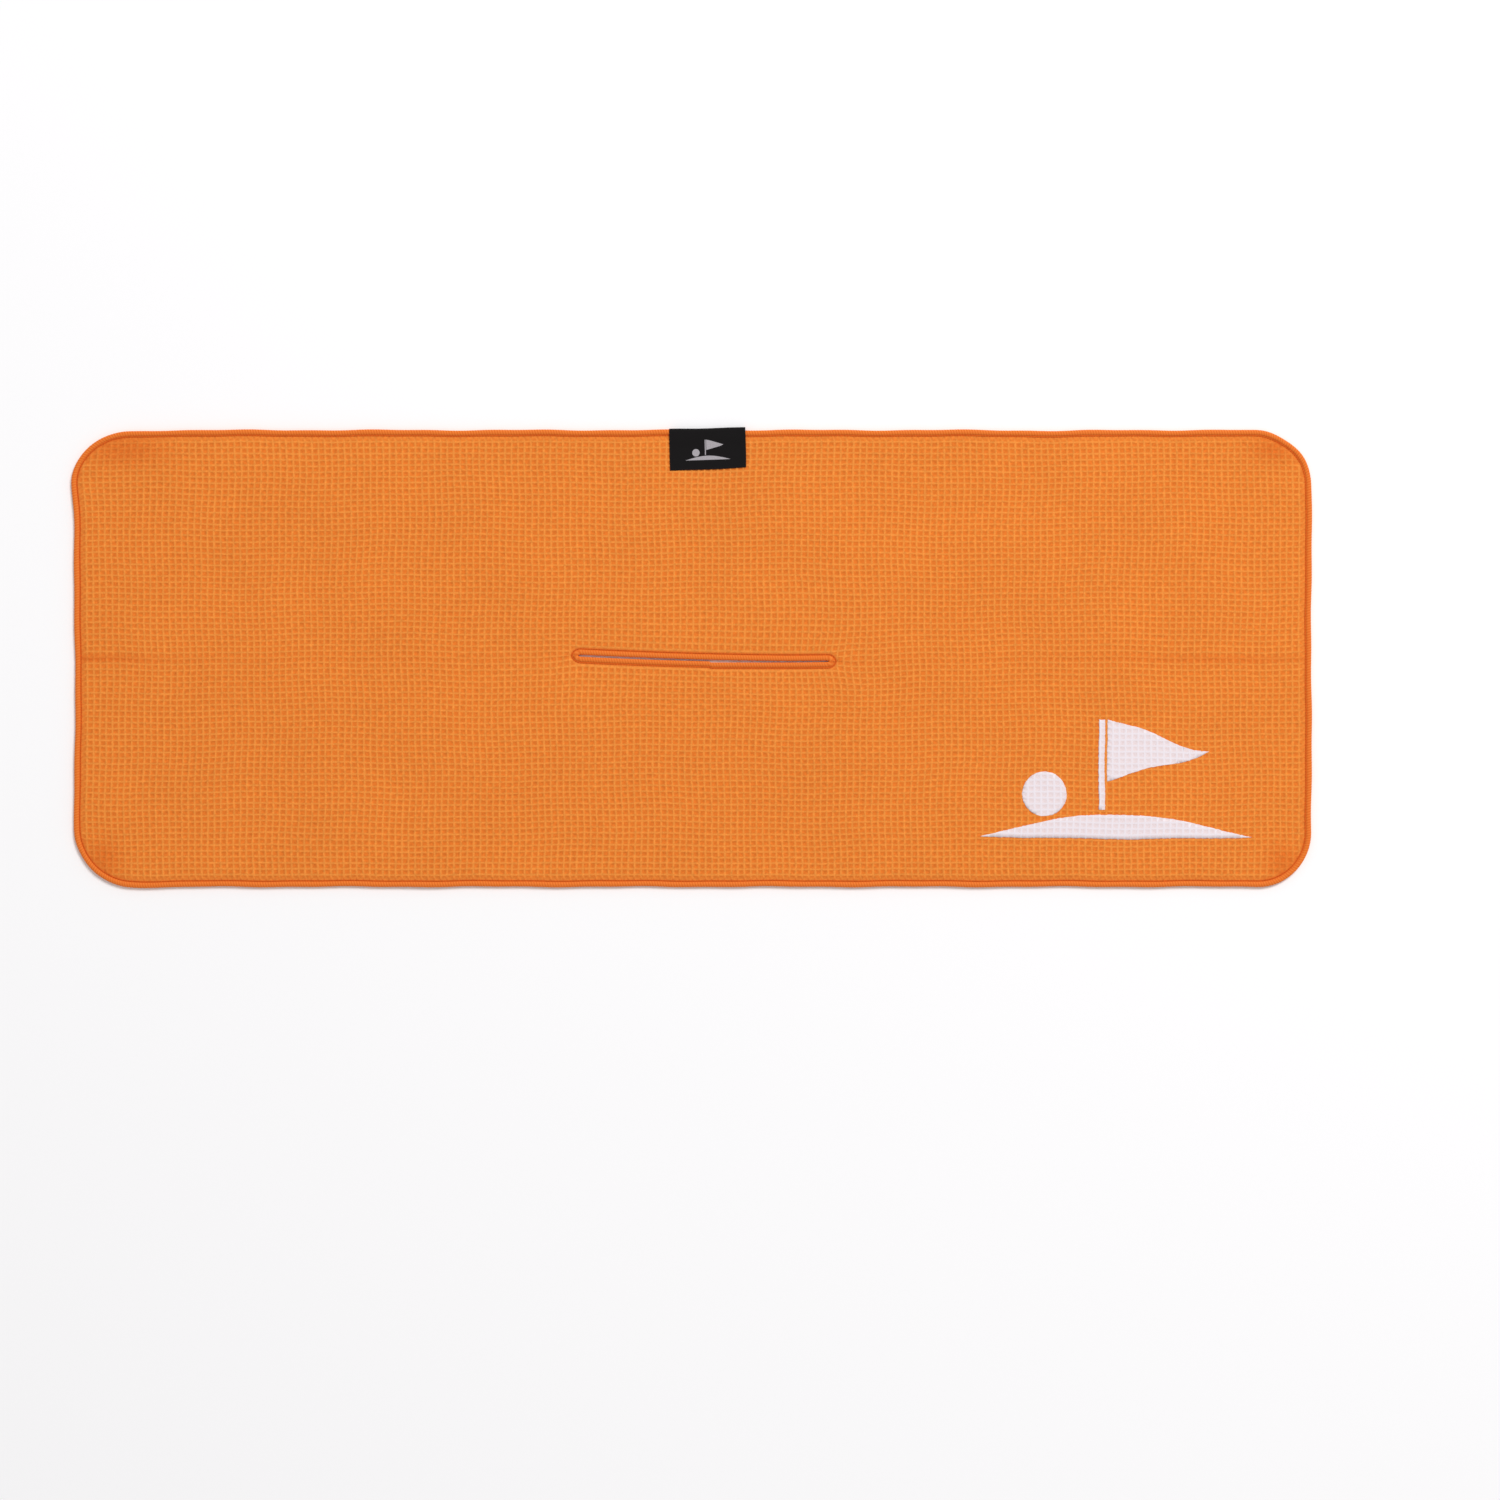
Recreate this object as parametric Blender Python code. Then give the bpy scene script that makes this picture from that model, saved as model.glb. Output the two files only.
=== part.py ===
"""Golf towel: two waffle microfibre plies overlocked together, with an overlocked slit for a club,
a folded woven label over its top edge, a care tab on the reverse and a heat-transfer print.

The towel lies flat on its reverse. +X runs along its length, +Y towards the edge with the woven
label, +Z up. It folds in half along its lengthwise crease, which runs through the slit, so every
piece that crosses the crease is two solids: an upper one at +Y and a lower one at -Y.
"""

import math

import bmesh
import bpy
from mathutils import Vector

MM = 0.001

# The towel, edge to edge.
TOWEL_LENGTH = 1016 * MM
TOWEL_WIDTH = 375 * MM
CORNER_RADIUS = 45 * MM

# Clearances.
FIT_GAP = 0.3 * MM
CREASE_GAP = 0.4 * MM
FOLD_CLEARANCE = 0.6 * MM

# The seam: the looper threads wrap the rim of both plies and press it thin.
SEAM_REACH = 4.6 * MM
SEAM_WALL = 0.9 * MM
SEAM_LAYER = 1.0 * MM
SEAM_PROUD = 0.3 * MM
RIM_THICK = 0.7 * MM
NEEDLE_WIDTH = 0.6 * MM
NEEDLE_HEIGHT = 0.4 * MM

# The slit that goes over a club, measured inside its edging.
SLIT_LENGTH = 210.4 * MM
SLIT_WIDTH = 4.8 * MM
SLIT_X = 11 * MM

# The woven label, folded over the top edge.
LABEL_WIDTH = 62.5 * MM
LABEL_FRONT_DEPTH = 33.5 * MM
LABEL_BACK_DEPTH = 33.5 * MM
LABEL_THICK = 0.3 * MM
LABEL_PROUD = 1.5 * MM
LABEL_X = 12.7 * MM
LABEL_STITCH_INSET = 1.0 * MM
LABEL_STITCH_OVERRUN = 1.2 * MM
LABEL_STITCH_WIDTH = 0.5 * MM
LABEL_STITCH_HEIGHT = 0.2 * MM

# The care tab, caught in the right-hand seam on the reverse.
TAB_LENGTH = 29.5 * MM
TAB_WIDTH = 31 * MM
TAB_THICK = 0.3 * MM
TAB_FROM_CORNER = 7.25 * MM

# The heat-transfer print in the lower right of the front.
PRINT_THICK = 0.15 * MM
PRINT_FROM_END = 161 * MM
PRINT_FROM_EDGE = 88.75 * MM
PRINT_HEIGHT = 97 * MM
PIN_WIDTH = 5 * MM
PIN_FROM_MIDDLE = 12 * MM
FLAG_LENGTH = 84 * MM
FLAG_HEIGHT = 50 * MM
FLAG_WAVE = 3.5 * MM
BALL_RADIUS = 18 * MM
GREEN_LENGTH = 222 * MM
GREEN_HEIGHT = 20 * MM
PRINT_SPACE = 4 * MM

# How finely round outlines are cut.
CORNER_STEPS = 12
SLIT_END_STEPS = 8
BALL_STEPS = 36
GREEN_STEPS = 24
FLAG_STEPS = 14

# Levels, from the surface that the towel lies on.
PLY_THICK = SEAM_LAYER + FIT_GAP + RIM_THICK
BACK_TOP = PLY_THICK
FRONT_LOW = BACK_TOP + FIT_GAP
FRONT_TOP = FRONT_LOW + PLY_THICK
CAVITY_LOW = SEAM_LAYER
CAVITY_TOP = FRONT_LOW + RIM_THICK + FIT_GAP
SEAM_TOP = FRONT_TOP + SEAM_PROUD
LABEL_TOP = SEAM_TOP + FIT_GAP + LABEL_THICK
LABEL_STITCH_LOW = LABEL_TOP + FIT_GAP
STACK_TOP = LABEL_STITCH_LOW + LABEL_STITCH_HEIGHT
PRINT_LOW = FRONT_TOP + FIT_GAP

# Insets from the rim of the towel, and from the mouth of the slit.
PLY_INSET = SEAM_WALL + FIT_GAP
NEEDLE_INSET = SEAM_REACH + FIT_GAP
FRONT_FIELD_INSET = NEEDLE_INSET + NEEDLE_WIDTH + FIT_GAP
BACK_FIELD_INSET = SEAM_REACH + FIT_GAP

# The origin is the middle of the whole part's footprint, so the label's overhang moves the towel.
TOWEL_Y = -LABEL_PROUD / 2
TOP_EDGE_Y = TOWEL_Y + TOWEL_WIDTH / 2
BOTTOM_EDGE_Y = TOWEL_Y - TOWEL_WIDTH / 2
RIGHT_EDGE_X = TOWEL_LENGTH / 2

# The tab starts above the round of the corner, and the print keeps its distance from both edges.
TAB_SEWN_X = RIGHT_EDGE_X - BACK_FIELD_INSET
TAB_Y = BOTTOM_EDGE_Y + CORNER_RADIUS + TAB_FROM_CORNER + TAB_WIDTH / 2
PRINT_X = RIGHT_EDGE_X - PRINT_FROM_END
PRINT_Y = BOTTOM_EDGE_Y + PRINT_FROM_EDGE

# The folded halves lie on each other with the fold's clearance above the highest piece.
FOLD_AXIS = Vector((0, 0, (STACK_TOP + SEAM_TOP + FOLD_CLEARANCE) / 2))
TAB_AXIS = Vector((TAB_SEWN_X, TAB_Y, -FIT_GAP / 2))
TAB_POCKET_DEPTH = TAB_THICK + FIT_GAP
LABEL_POCKET_DEPTH = LABEL_THICK + FIT_GAP

OVERCUT = 2 * MM
WELD = 0.001 * MM

COLORS = {
    "microfibre_orange": ((0.83, 0.24, 0.045), 0.9),
    "microfibre_checker": ((0.80, 0.45, 0.35), 0.9),
    "overlock_thread": ((0.78, 0.17, 0.025), 0.6),
    "needle_thread": ((0.62, 0.10, 0.012), 0.6),
    "woven_label_black": ((0.012, 0.01, 0.011), 0.7),
    "label_thread": ((0.02, 0.018, 0.02), 0.6),
    "tab_satin": ((0.80, 0.79, 0.82), 0.5),
    "print_film": ((0.82, 0.78, 0.82), 0.45),
}

PIECES = "golf_towel"
CUTTERS = "golf_towel_cutters"


def clear_scene():
    """Removes the startup objects."""
    for obj in list(bpy.data.objects):
        bpy.data.objects.remove(obj, do_unlink=True)


def make_collection(name, hidden=False):
    """A new collection in the scene."""
    collection = bpy.data.collections.new(name)
    collection.hide_render = hidden
    bpy.context.scene.collection.children.link(collection)
    return collection


def make_material(name):
    """A plain Principled BSDF material in the piece's colour."""
    color, roughness = COLORS[name]
    material = bpy.data.materials.new(name)
    material.use_nodes = True
    shader = material.node_tree.nodes["Principled BSDF"]
    shader.inputs["Base Color"].default_value = (*color, 1)
    shader.inputs["Roughness"].default_value = roughness
    shader.inputs["Metallic"].default_value = 0
    return material


def arc(center, radius, start, end, steps):
    """Points on an arc, both ends included; angles in degrees."""
    points = []
    for i in range(steps + 1):
        angle = math.radians(start + (end - start) * i / steps)
        points.append((center[0] + radius * math.cos(angle), center[1] + radius * math.sin(angle)))
    return points


def towel_outline(inset):
    """The towel's rounded rectangle, drawn in by an inset."""
    radius = CORNER_RADIUS - inset
    x = TOWEL_LENGTH / 2 - CORNER_RADIUS
    y = TOWEL_WIDTH / 2 - CORNER_RADIUS
    points = []
    for start, side_x, side_y in ((0, 1, 1), (90, -1, 1), (180, -1, -1), (270, 1, -1)):
        center = (side_x * x, TOWEL_Y + side_y * y)
        points += arc(center, radius, start, start + 90, CORNER_STEPS)
    return points


def slit_outline(outset):
    """The slit's mouth, a bar with round ends, widened by an outset."""
    radius = SLIT_WIDTH / 2 + outset
    x = (SLIT_LENGTH - SLIT_WIDTH) / 2
    right = arc((SLIT_X + x, 0), radius, -90, 90, SLIT_END_STEPS)
    left = arc((SLIT_X - x, 0), radius, 90, 270, SLIT_END_STEPS)
    return right + left


def box_outline(low, high):
    """A rectangle from its lowest to its highest corner."""
    return [(low[0], low[1]), (high[0], low[1]), (high[0], high[1]), (low[0], high[1])]


def extrude_outlines(name, outlines, low, high, collection):
    """A flat solid between two levels: the first outline, with any others inside it as holes."""
    curve = bpy.data.curves.new(name, "CURVE")
    curve.dimensions = "2D"
    curve.fill_mode = "BOTH"
    curve.extrude = (high - low) / 2
    for outline in outlines:
        spline = curve.splines.new("POLY")
        spline.points.add(len(outline) - 1)
        for point, (x, y) in zip(spline.points, outline):
            point.co = (x, y, 0, 1)
        spline.use_cyclic_u = True
    guide = bpy.data.objects.new(name + "_outline", curve)
    guide.location.z = (low + high) / 2
    bpy.context.scene.collection.objects.link(guide)
    bpy.context.view_layer.update()
    graph = bpy.context.evaluated_depsgraph_get()
    mesh = bpy.data.meshes.new_from_object(guide.evaluated_get(graph))
    mesh.name = name
    mesh.transform(guide.matrix_world)
    bpy.data.objects.remove(guide, do_unlink=True)
    bpy.data.curves.remove(curve)
    bm = bmesh.new()
    bm.from_mesh(mesh)
    bmesh.ops.remove_doubles(bm, verts=bm.verts, dist=WELD)
    bmesh.ops.recalc_face_normals(bm, faces=bm.faces)
    bm.to_mesh(mesh)
    bm.free()
    obj = bpy.data.objects.new(name, mesh)
    collection.objects.link(obj)
    return obj


def dress(obj, material):
    """Gives a piece its one material."""
    obj.data.materials.clear()
    obj.data.materials.append(material)
    return obj


def cut(obj, cutter):
    """A live Boolean on a piece; a cutter is wire in the viewport and left out of a render.

    EXACT leaves open edges on these long thin faces, and MANIFOLD keeps them closed.
    """
    modifier = obj.modifiers.new(cutter.name, "BOOLEAN")
    modifier.operation = "DIFFERENCE"
    modifier.object = cutter
    modifier.solver = "MANIFOLD"
    cutter.display_type = "WIRE"
    cutter.hide_render = True


def make_half_cutters(cutters):
    """Boxes that take away one side of the crease each."""
    x = TOWEL_LENGTH / 2 + 2 * OVERCUT
    far = TOWEL_WIDTH
    near = CREASE_GAP / 2
    low, high = -OVERCUT, STACK_TOP + OVERCUT
    below = box_outline((-x, -far), (x, near))
    above = box_outline((-x, -near), (x, far))
    return {
        "upper": extrude_outlines("cut_below_crease", [below], low, high, cutters),
        "lower": extrude_outlines("cut_above_crease", [above], low, high, cutters),
    }


def make_pocket_cutters(cutters):
    """The hollows that the label's back leaf and the care tab press into the reverse."""
    label = box_outline(
        (LABEL_X - LABEL_WIDTH / 2 - FIT_GAP, TOP_EDGE_Y + LABEL_PROUD - LABEL_BACK_DEPTH - FIT_GAP),
        (LABEL_X + LABEL_WIDTH / 2 + FIT_GAP, TOP_EDGE_Y + LABEL_PROUD + OVERCUT),
    )
    tab = box_outline(
        (TAB_SEWN_X - TAB_LENGTH - FIT_GAP, TAB_Y - TAB_WIDTH / 2 - FIT_GAP),
        (TAB_SEWN_X + FIT_GAP, TAB_Y + TAB_WIDTH / 2 + FIT_GAP),
    )
    return {
        "upper": extrude_outlines("label_pocket", [label], -OVERCUT, LABEL_POCKET_DEPTH, cutters),
        "lower": extrude_outlines("tab_pocket", [tab], -OVERCUT, TAB_POCKET_DEPTH, cutters),
    }


def make_ply_cutters(cutters):
    """What thins each ply where the seams press it: a step round the rim and one round the slit."""
    outside = towel_outline(-OVERCUT)
    found = {}
    for ply, inset, low, high in (
        ("front_ply", FRONT_FIELD_INSET, FRONT_LOW + RIM_THICK, FRONT_TOP + OVERCUT),
        ("back_ply", BACK_FIELD_INSET, -OVERCUT, BACK_TOP - RIM_THICK),
    ):
        rim = [outside, towel_outline(inset)]
        mouth = [slit_outline(inset)]
        found[ply] = (
            extrude_outlines(ply + "_rim_step", rim, low, high, cutters),
            extrude_outlines(ply + "_slit_step", mouth, low, high, cutters),
        )
    return found


def make_plies(pieces, cutters, halves, pockets):
    """The two waffle plies, each in two halves, thinned under the seams."""
    steps = make_ply_cutters(cutters)
    made = {}
    for ply, low, high, finish in (
        ("front_ply", FRONT_LOW, FRONT_TOP, "microfibre_orange"),
        ("back_ply", 0, BACK_TOP, "microfibre_checker"),
    ):
        material = make_material(finish)
        for half in ("upper", "lower"):
            name = f"{ply}_{half}"
            outlines = [towel_outline(PLY_INSET), slit_outline(PLY_INSET)]
            obj = dress(extrude_outlines(name, outlines, low, high, pieces), material)
            for step in steps[ply]:
                cut(obj, step)
            if ply == "back_ply":
                cut(obj, pockets[half])
            cut(obj, halves[half])
            made[name] = obj
    return made


def make_overlocks(pieces, cutters, halves, pockets):
    """The looper threads: a band round the rim and one round the slit, hollow where the plies go in."""
    material = make_material("overlock_thread")
    edge_hollow = extrude_outlines(
        "edge_hollow",
        [towel_outline(SEAM_WALL), towel_outline(SEAM_REACH + OVERCUT)],
        CAVITY_LOW,
        CAVITY_TOP,
        cutters,
    )
    slit_hollow = extrude_outlines(
        "slit_hollow",
        [slit_outline(SEAM_REACH + OVERCUT), slit_outline(SEAM_WALL)],
        CAVITY_LOW,
        CAVITY_TOP,
        cutters,
    )
    made = {}
    for half in ("upper", "lower"):
        edge = extrude_outlines(
            f"edge_overlock_{half}",
            [towel_outline(0), towel_outline(SEAM_REACH)],
            0,
            SEAM_TOP,
            pieces,
        )
        cut(edge, edge_hollow)
        if half == "upper":
            cut(edge, pockets[half])
        slit = extrude_outlines(
            f"slit_overlock_{half}",
            [slit_outline(SEAM_REACH), slit_outline(0)],
            0,
            SEAM_TOP,
            pieces,
        )
        cut(slit, slit_hollow)
        for obj in (edge, slit):
            dress(obj, material)
            cut(obj, halves[half])
            made[obj.name] = obj
    return made


def make_needle_threads(pieces, halves):
    """The needle thread's line of stitches, in the channel beside each band of looper thread."""
    material = make_material("needle_thread")
    low = FRONT_LOW + RIM_THICK + FIT_GAP
    high = low + NEEDLE_HEIGHT
    far = NEEDLE_INSET + NEEDLE_WIDTH
    made = {}
    for half in ("upper", "lower"):
        for name, outlines in (
            (f"edge_needle_thread_{half}", [towel_outline(NEEDLE_INSET), towel_outline(far)]),
            (f"slit_needle_thread_{half}", [slit_outline(far), slit_outline(NEEDLE_INSET)]),
        ):
            obj = dress(extrude_outlines(name, outlines, low, high, pieces), material)
            cut(obj, halves[half])
            made[name] = obj
    return made


def make_label(pieces, cutters):
    """The woven label folded over the top edge, and the line of stitches along its open end."""
    left, right = LABEL_X - LABEL_WIDTH / 2, LABEL_X + LABEL_WIDTH / 2
    top = TOP_EDGE_Y + LABEL_PROUD
    deepest = max(LABEL_FRONT_DEPTH, LABEL_BACK_DEPTH)
    label = extrude_outlines(
        "woven_label", [box_outline((left, top - deepest), (right, top))], 0, LABEL_TOP, pieces
    )
    inside = box_outline((left - OVERCUT, top - deepest - OVERCUT), (right + OVERCUT, top - LABEL_THICK))
    hollow = extrude_outlines(
        "label_hollow", [inside], LABEL_THICK, LABEL_TOP - LABEL_THICK, cutters
    )
    cut(label, hollow)
    for side, depth, low, high in (
        ("front", LABEL_FRONT_DEPTH, LABEL_TOP - LABEL_THICK - FIT_GAP / 2, LABEL_TOP + OVERCUT),
        ("back", LABEL_BACK_DEPTH, -OVERCUT, LABEL_THICK + FIT_GAP / 2),
    ):
        if depth < deepest:
            trim = box_outline(
                (left - OVERCUT, top - deepest - OVERCUT), (right + OVERCUT, top - depth)
            )
            cut(label, extrude_outlines(f"label_{side}_trim", [trim], low, high, cutters))
    dress(label, make_material("woven_label_black"))
    low_y = top - LABEL_FRONT_DEPTH + LABEL_STITCH_INSET
    line = box_outline(
        (left - LABEL_STITCH_OVERRUN, low_y),
        (right + LABEL_STITCH_OVERRUN, low_y + LABEL_STITCH_WIDTH),
    )
    stitches = extrude_outlines("label_stitching", [line], LABEL_STITCH_LOW, STACK_TOP, pieces)
    dress(stitches, make_material("label_thread"))
    return {label.name: label, stitches.name: stitches}


def make_tab(pieces):
    """The care tab on the reverse, sewn in along the right-hand seam and free on its other sides."""
    outline = box_outline(
        (TAB_SEWN_X - TAB_LENGTH, TAB_Y - TAB_WIDTH / 2), (TAB_SEWN_X, TAB_Y + TAB_WIDTH / 2)
    )
    tab = extrude_outlines("care_tab", [outline], 0, TAB_THICK, pieces)
    return dress(tab, make_material("tab_satin"))


def green_height(x):
    """How high the mound stands at x: half a sine wave on a flat sole."""
    share = (x - PRINT_X + GREEN_LENGTH / 2) / GREEN_LENGTH
    return PRINT_Y - PRINT_HEIGHT / 2 + GREEN_HEIGHT * math.sin(math.pi * share)


def green_outline():
    """The mound, with pointed ends."""
    low_y = PRINT_Y - PRINT_HEIGHT / 2
    left, right = PRINT_X - GREEN_LENGTH / 2, PRINT_X + GREEN_LENGTH / 2
    points = [(left, low_y), (right, low_y)]
    for i in range(GREEN_STEPS - 1, 0, -1):
        x = left + GREEN_LENGTH * i / GREEN_STEPS
        points.append((x, green_height(x)))
    return points


def flag_outline(left, top):
    """A pennant that narrows to its tip, with a wave along both edges."""
    upper, lower = [], []
    for i in range(FLAG_STEPS):
        share = i / FLAG_STEPS
        x = left + FLAG_LENGTH * share
        middle = top - FLAG_HEIGHT / 2 + FLAG_WAVE * math.sin(2 * math.pi * share) * share
        half = FLAG_HEIGHT / 2 * (1 - share)
        upper.append((x, middle + half))
        lower.append((x, middle - half))
    return lower + [(left + FLAG_LENGTH, top - FLAG_HEIGHT / 2)] + upper[::-1]


def make_print(pieces):
    """The heat-transfer film: a flag on its pin, a ball and the green, each an island of its own."""
    material = make_material("print_film")
    high = PRINT_LOW + PRINT_THICK
    pin_left = PRINT_X - PIN_FROM_MIDDLE - PIN_WIDTH / 2
    pin_right = pin_left + PIN_WIDTH
    pin_low = max(green_height(pin_left), green_height(pin_right)) + PRINT_SPACE
    pin_top = PRINT_Y + PRINT_HEIGHT / 2
    ball_x = pin_left - 2 * PRINT_SPACE - 2 * BALL_RADIUS
    ball_y = green_height(ball_x) + PRINT_SPACE + BALL_RADIUS
    shapes = {
        "print_green": green_outline(),
        "print_pin": box_outline((pin_left, pin_low), (pin_right, pin_top)),
        "print_flag": flag_outline(pin_right + PRINT_SPACE / 2, pin_top),
        "print_ball": arc((ball_x, ball_y), BALL_RADIUS, 0, 360, BALL_STEPS)[:-1],
    }
    return {
        name: dress(extrude_outlines(name, [outline], PRINT_LOW, high, pieces), material)
        for name, outline in shapes.items()
    }


def make_axis(name, place, pieces):
    """An empty on a joint's axis, for the pieces that turn about it."""
    empty = bpy.data.objects.new(name, None)
    empty.location = place
    empty.empty_display_size = SEAM_REACH
    pieces.objects.link(empty)
    return empty


def hang_on(empty, objects):
    """Parents pieces to an axis, where they are."""
    bpy.context.view_layer.update()
    for obj in objects:
        obj.parent = empty
        obj.matrix_parent_inverse = empty.matrix_world.inverted()


def main():
    """Builds every piece and hangs the moving ones on their axes."""
    clear_scene()
    pieces = make_collection(PIECES)
    cutters = make_collection(CUTTERS, hidden=True)
    halves = make_half_cutters(cutters)
    pockets = make_pocket_cutters(cutters)
    made = make_plies(pieces, cutters, halves, pockets)
    made |= make_overlocks(pieces, cutters, halves, pockets)
    made |= make_needle_threads(pieces, halves)
    make_label(pieces, cutters)
    tab = make_tab(pieces)
    printed = make_print(pieces)
    fold = make_axis("fold_axis", FOLD_AXIS, pieces)
    turn = make_axis("tab_axis", TAB_AXIS, pieces)
    lower = [obj for name, obj in made.items() if name.endswith("_lower")]
    hang_on(fold, lower + list(printed.values()) + [turn])
    hang_on(turn, [tab])


main()
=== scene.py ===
"""Looks of a golf towel: two waffle microfibre plies, overlocked together round the rim and the slit.

Every piece is drawn flat, on the towel's own cut, and then laid: one function takes flat places to
where the cloth really lies, so that plies, seams, label and print stay together wherever it is pulled.
Lengths are in metres. +X runs along the towel, +Y towards the woven label, +Z up out of the plain face.
"""

from __future__ import annotations

import logging
import math
from dataclasses import dataclass, field
from enum import Enum
from typing import Iterable, Sequence

import bmesh
import bpy
import numpy as np
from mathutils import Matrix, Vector

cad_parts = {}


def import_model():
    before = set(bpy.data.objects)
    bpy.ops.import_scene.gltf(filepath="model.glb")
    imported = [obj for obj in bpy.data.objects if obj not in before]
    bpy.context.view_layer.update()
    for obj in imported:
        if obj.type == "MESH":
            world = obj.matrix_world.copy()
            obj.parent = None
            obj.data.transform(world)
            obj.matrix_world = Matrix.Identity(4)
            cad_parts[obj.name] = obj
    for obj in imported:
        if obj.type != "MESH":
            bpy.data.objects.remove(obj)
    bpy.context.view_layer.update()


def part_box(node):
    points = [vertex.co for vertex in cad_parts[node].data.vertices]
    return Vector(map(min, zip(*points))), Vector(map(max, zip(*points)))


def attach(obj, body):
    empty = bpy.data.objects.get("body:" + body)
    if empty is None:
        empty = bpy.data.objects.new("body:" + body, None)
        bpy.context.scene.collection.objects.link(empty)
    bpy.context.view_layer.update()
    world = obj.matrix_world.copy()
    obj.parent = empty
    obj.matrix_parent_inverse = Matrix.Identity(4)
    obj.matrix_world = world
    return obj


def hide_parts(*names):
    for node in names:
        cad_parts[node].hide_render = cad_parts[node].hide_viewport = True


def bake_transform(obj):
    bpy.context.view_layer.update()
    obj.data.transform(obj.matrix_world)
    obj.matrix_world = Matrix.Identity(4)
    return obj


LOG = logging.getLogger("golf_towel")
MM = 0.001

# Bodies of the frame.
UPPER = "upper_half"
LOWER = "lower_half"
TAB = "care_tab_flap"


class Face(Enum):
    """The two faces of the towel: the plain one that shows, and the printed one that it lies on."""

    PLAIN = 1
    REVERSE = -1


# ---------------------------------------------------------------------------------------------------
# Node helpers


def linear(code: str) -> tuple[float, float, float, float]:
    """Turns a colour as it is seen into the linear values that a shader takes.

    Args:
        code: An sRGB colour, as "#rrggbb".

    Returns:
        Linear red, green and blue, with an alpha of 1.
    """
    parts = [int(code[i : i + 2], 16) / 255 for i in (1, 3, 5)]
    low = [c / 12.92 if c <= 0.04045 else ((c + 0.055) / 1.055) ** 2.4 for c in parts]
    return (low[0], low[1], low[2], 1.0)


def fill(tree: bpy.types.NodeTree, node: bpy.types.Node, feeds: dict) -> None:
    """Fills or links a node's inputs.

    Args:
        tree: The shader or geometry tree that holds the node.
        node: The node.
        feeds: For each input, by name or place, what it holds: a value, the socket that feeds it, or
            the node whose first output does.
    """
    for key, value in feeds.items():
        if isinstance(value, bpy.types.Node):
            value = value.outputs[0]
        if isinstance(value, bpy.types.NodeSocket):
            tree.links.new(value, node.inputs[key])
        else:
            node.inputs[key].default_value = value


def add(
    tree: bpy.types.NodeTree, kind: str, feeds: dict | None = None, **settings: object
) -> bpy.types.Node:
    """Adds a node with its settings, and fills its inputs.

    Args:
        tree: The shader or geometry tree that takes the node.
        kind: Blender's name for the kind of node.
        feeds: What its inputs hold.
        **settings: The node's own properties.

    Returns:
        The new node.
    """
    node = tree.nodes.new(kind)
    for name, value in settings.items():
        setattr(node, name, value)
    fill(tree, node, feeds or {})
    return node


def principled(
    name: str,
) -> tuple[bpy.types.Material, bpy.types.NodeTree, bpy.types.Node]:
    """Starts a material, and gives it with its tree and its shader."""
    made = bpy.data.materials.new(name)
    made.use_nodes = True
    return made, made.node_tree, made.node_tree.nodes["Principled BSDF"]


def stand(name: str, data: bpy.types.ID) -> bpy.types.Object:
    """Puts a mesh, curve, lamp or camera in the scene as an object."""
    made = bpy.data.objects.new(name, data)
    bpy.context.scene.collection.objects.link(made)
    return made


class Recipe:
    """A Geometry Nodes tree with named inputs, run once to make the mesh of a piece."""

    def __init__(self, name: str) -> None:
        """Starts a tree that takes and gives geometry."""
        self.tree = bpy.data.node_groups.new(name, "GeometryNodeTree")
        self.identifiers: dict[str, str] = {}
        for way in ("INPUT", "OUTPUT"):
            self.tree.interface.new_socket("Geometry", in_out=way, socket_type="NodeSocketGeometry")
        self.source = self.tree.nodes.new("NodeGroupInput")

    def ask(self, name: str, kind: str = "Float") -> bpy.types.NodeSocket:
        """Adds a named input to the tree.

        Args:
            name: What the input sets, in plain words.
            kind: Float, Int, Object or Material.

        Returns:
            The socket inside the tree that carries it.
        """
        item = self.tree.interface.new_socket(
            name, in_out="INPUT", socket_type=f"NodeSocket{kind}"
        )
        self.identifiers[name] = item.identifier
        return self.source.outputs[name]

    def add(self, kind: str, feeds: dict | None = None, **settings: object) -> bpy.types.Node:
        """Adds a node to this recipe's tree."""
        return add(self.tree, kind, feeds, **settings)

    def end(self, geometry: bpy.types.Node) -> None:
        """Ends the tree: copies made real, one material on all of it, and out."""
        real = self.add("GeometryNodeRealizeInstances", {"Geometry": geometry})
        shaded = self.add("GeometryNodeSetShadeSmooth", {"Geometry": real})
        material = self.ask("Material", "Material")
        dressed = self.add("GeometryNodeSetMaterial", {"Geometry": shaded, "Material": material})
        self.add("NodeGroupOutput", {"Geometry": dressed})

    def run(self, source: bpy.types.Object, values: dict[str, object]) -> bpy.types.Mesh:
        """Runs the recipe on an object and takes the result as a plain mesh.

        Args:
            source: The object that it starts from, which is used up.
            values: The named inputs.

        Returns:
            The finished mesh.
        """
        modifier = source.modifiers.new(self.tree.name, "NODES")
        modifier.node_group = self.tree
        for name, value in values.items():
            modifier[self.identifiers[name]] = value
        bpy.context.view_layer.update()
        graph = bpy.context.evaluated_depsgraph_get()
        mesh = bpy.data.meshes.new_from_object(source.evaluated_get(graph))
        bpy.data.objects.remove(source, do_unlink=True)
        return mesh


# ---------------------------------------------------------------------------------------------------
# The flat cut


def smooth(share: np.ndarray) -> np.ndarray:
    """Eases from 0 to 1 as a share goes from 0 to 1."""
    held = np.clip(share, 0, 1)
    return held * held * (3 - 2 * held)


def segment_distance(points: np.ndarray, a: np.ndarray, b: np.ndarray) -> np.ndarray:
    """How far each point lies from the straight line between two others."""
    along = b - a
    share = np.clip((points - a) @ along / (along @ along), 0, 1)
    return np.linalg.norm(points - a - share[:, None] * along, axis=1)


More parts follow.
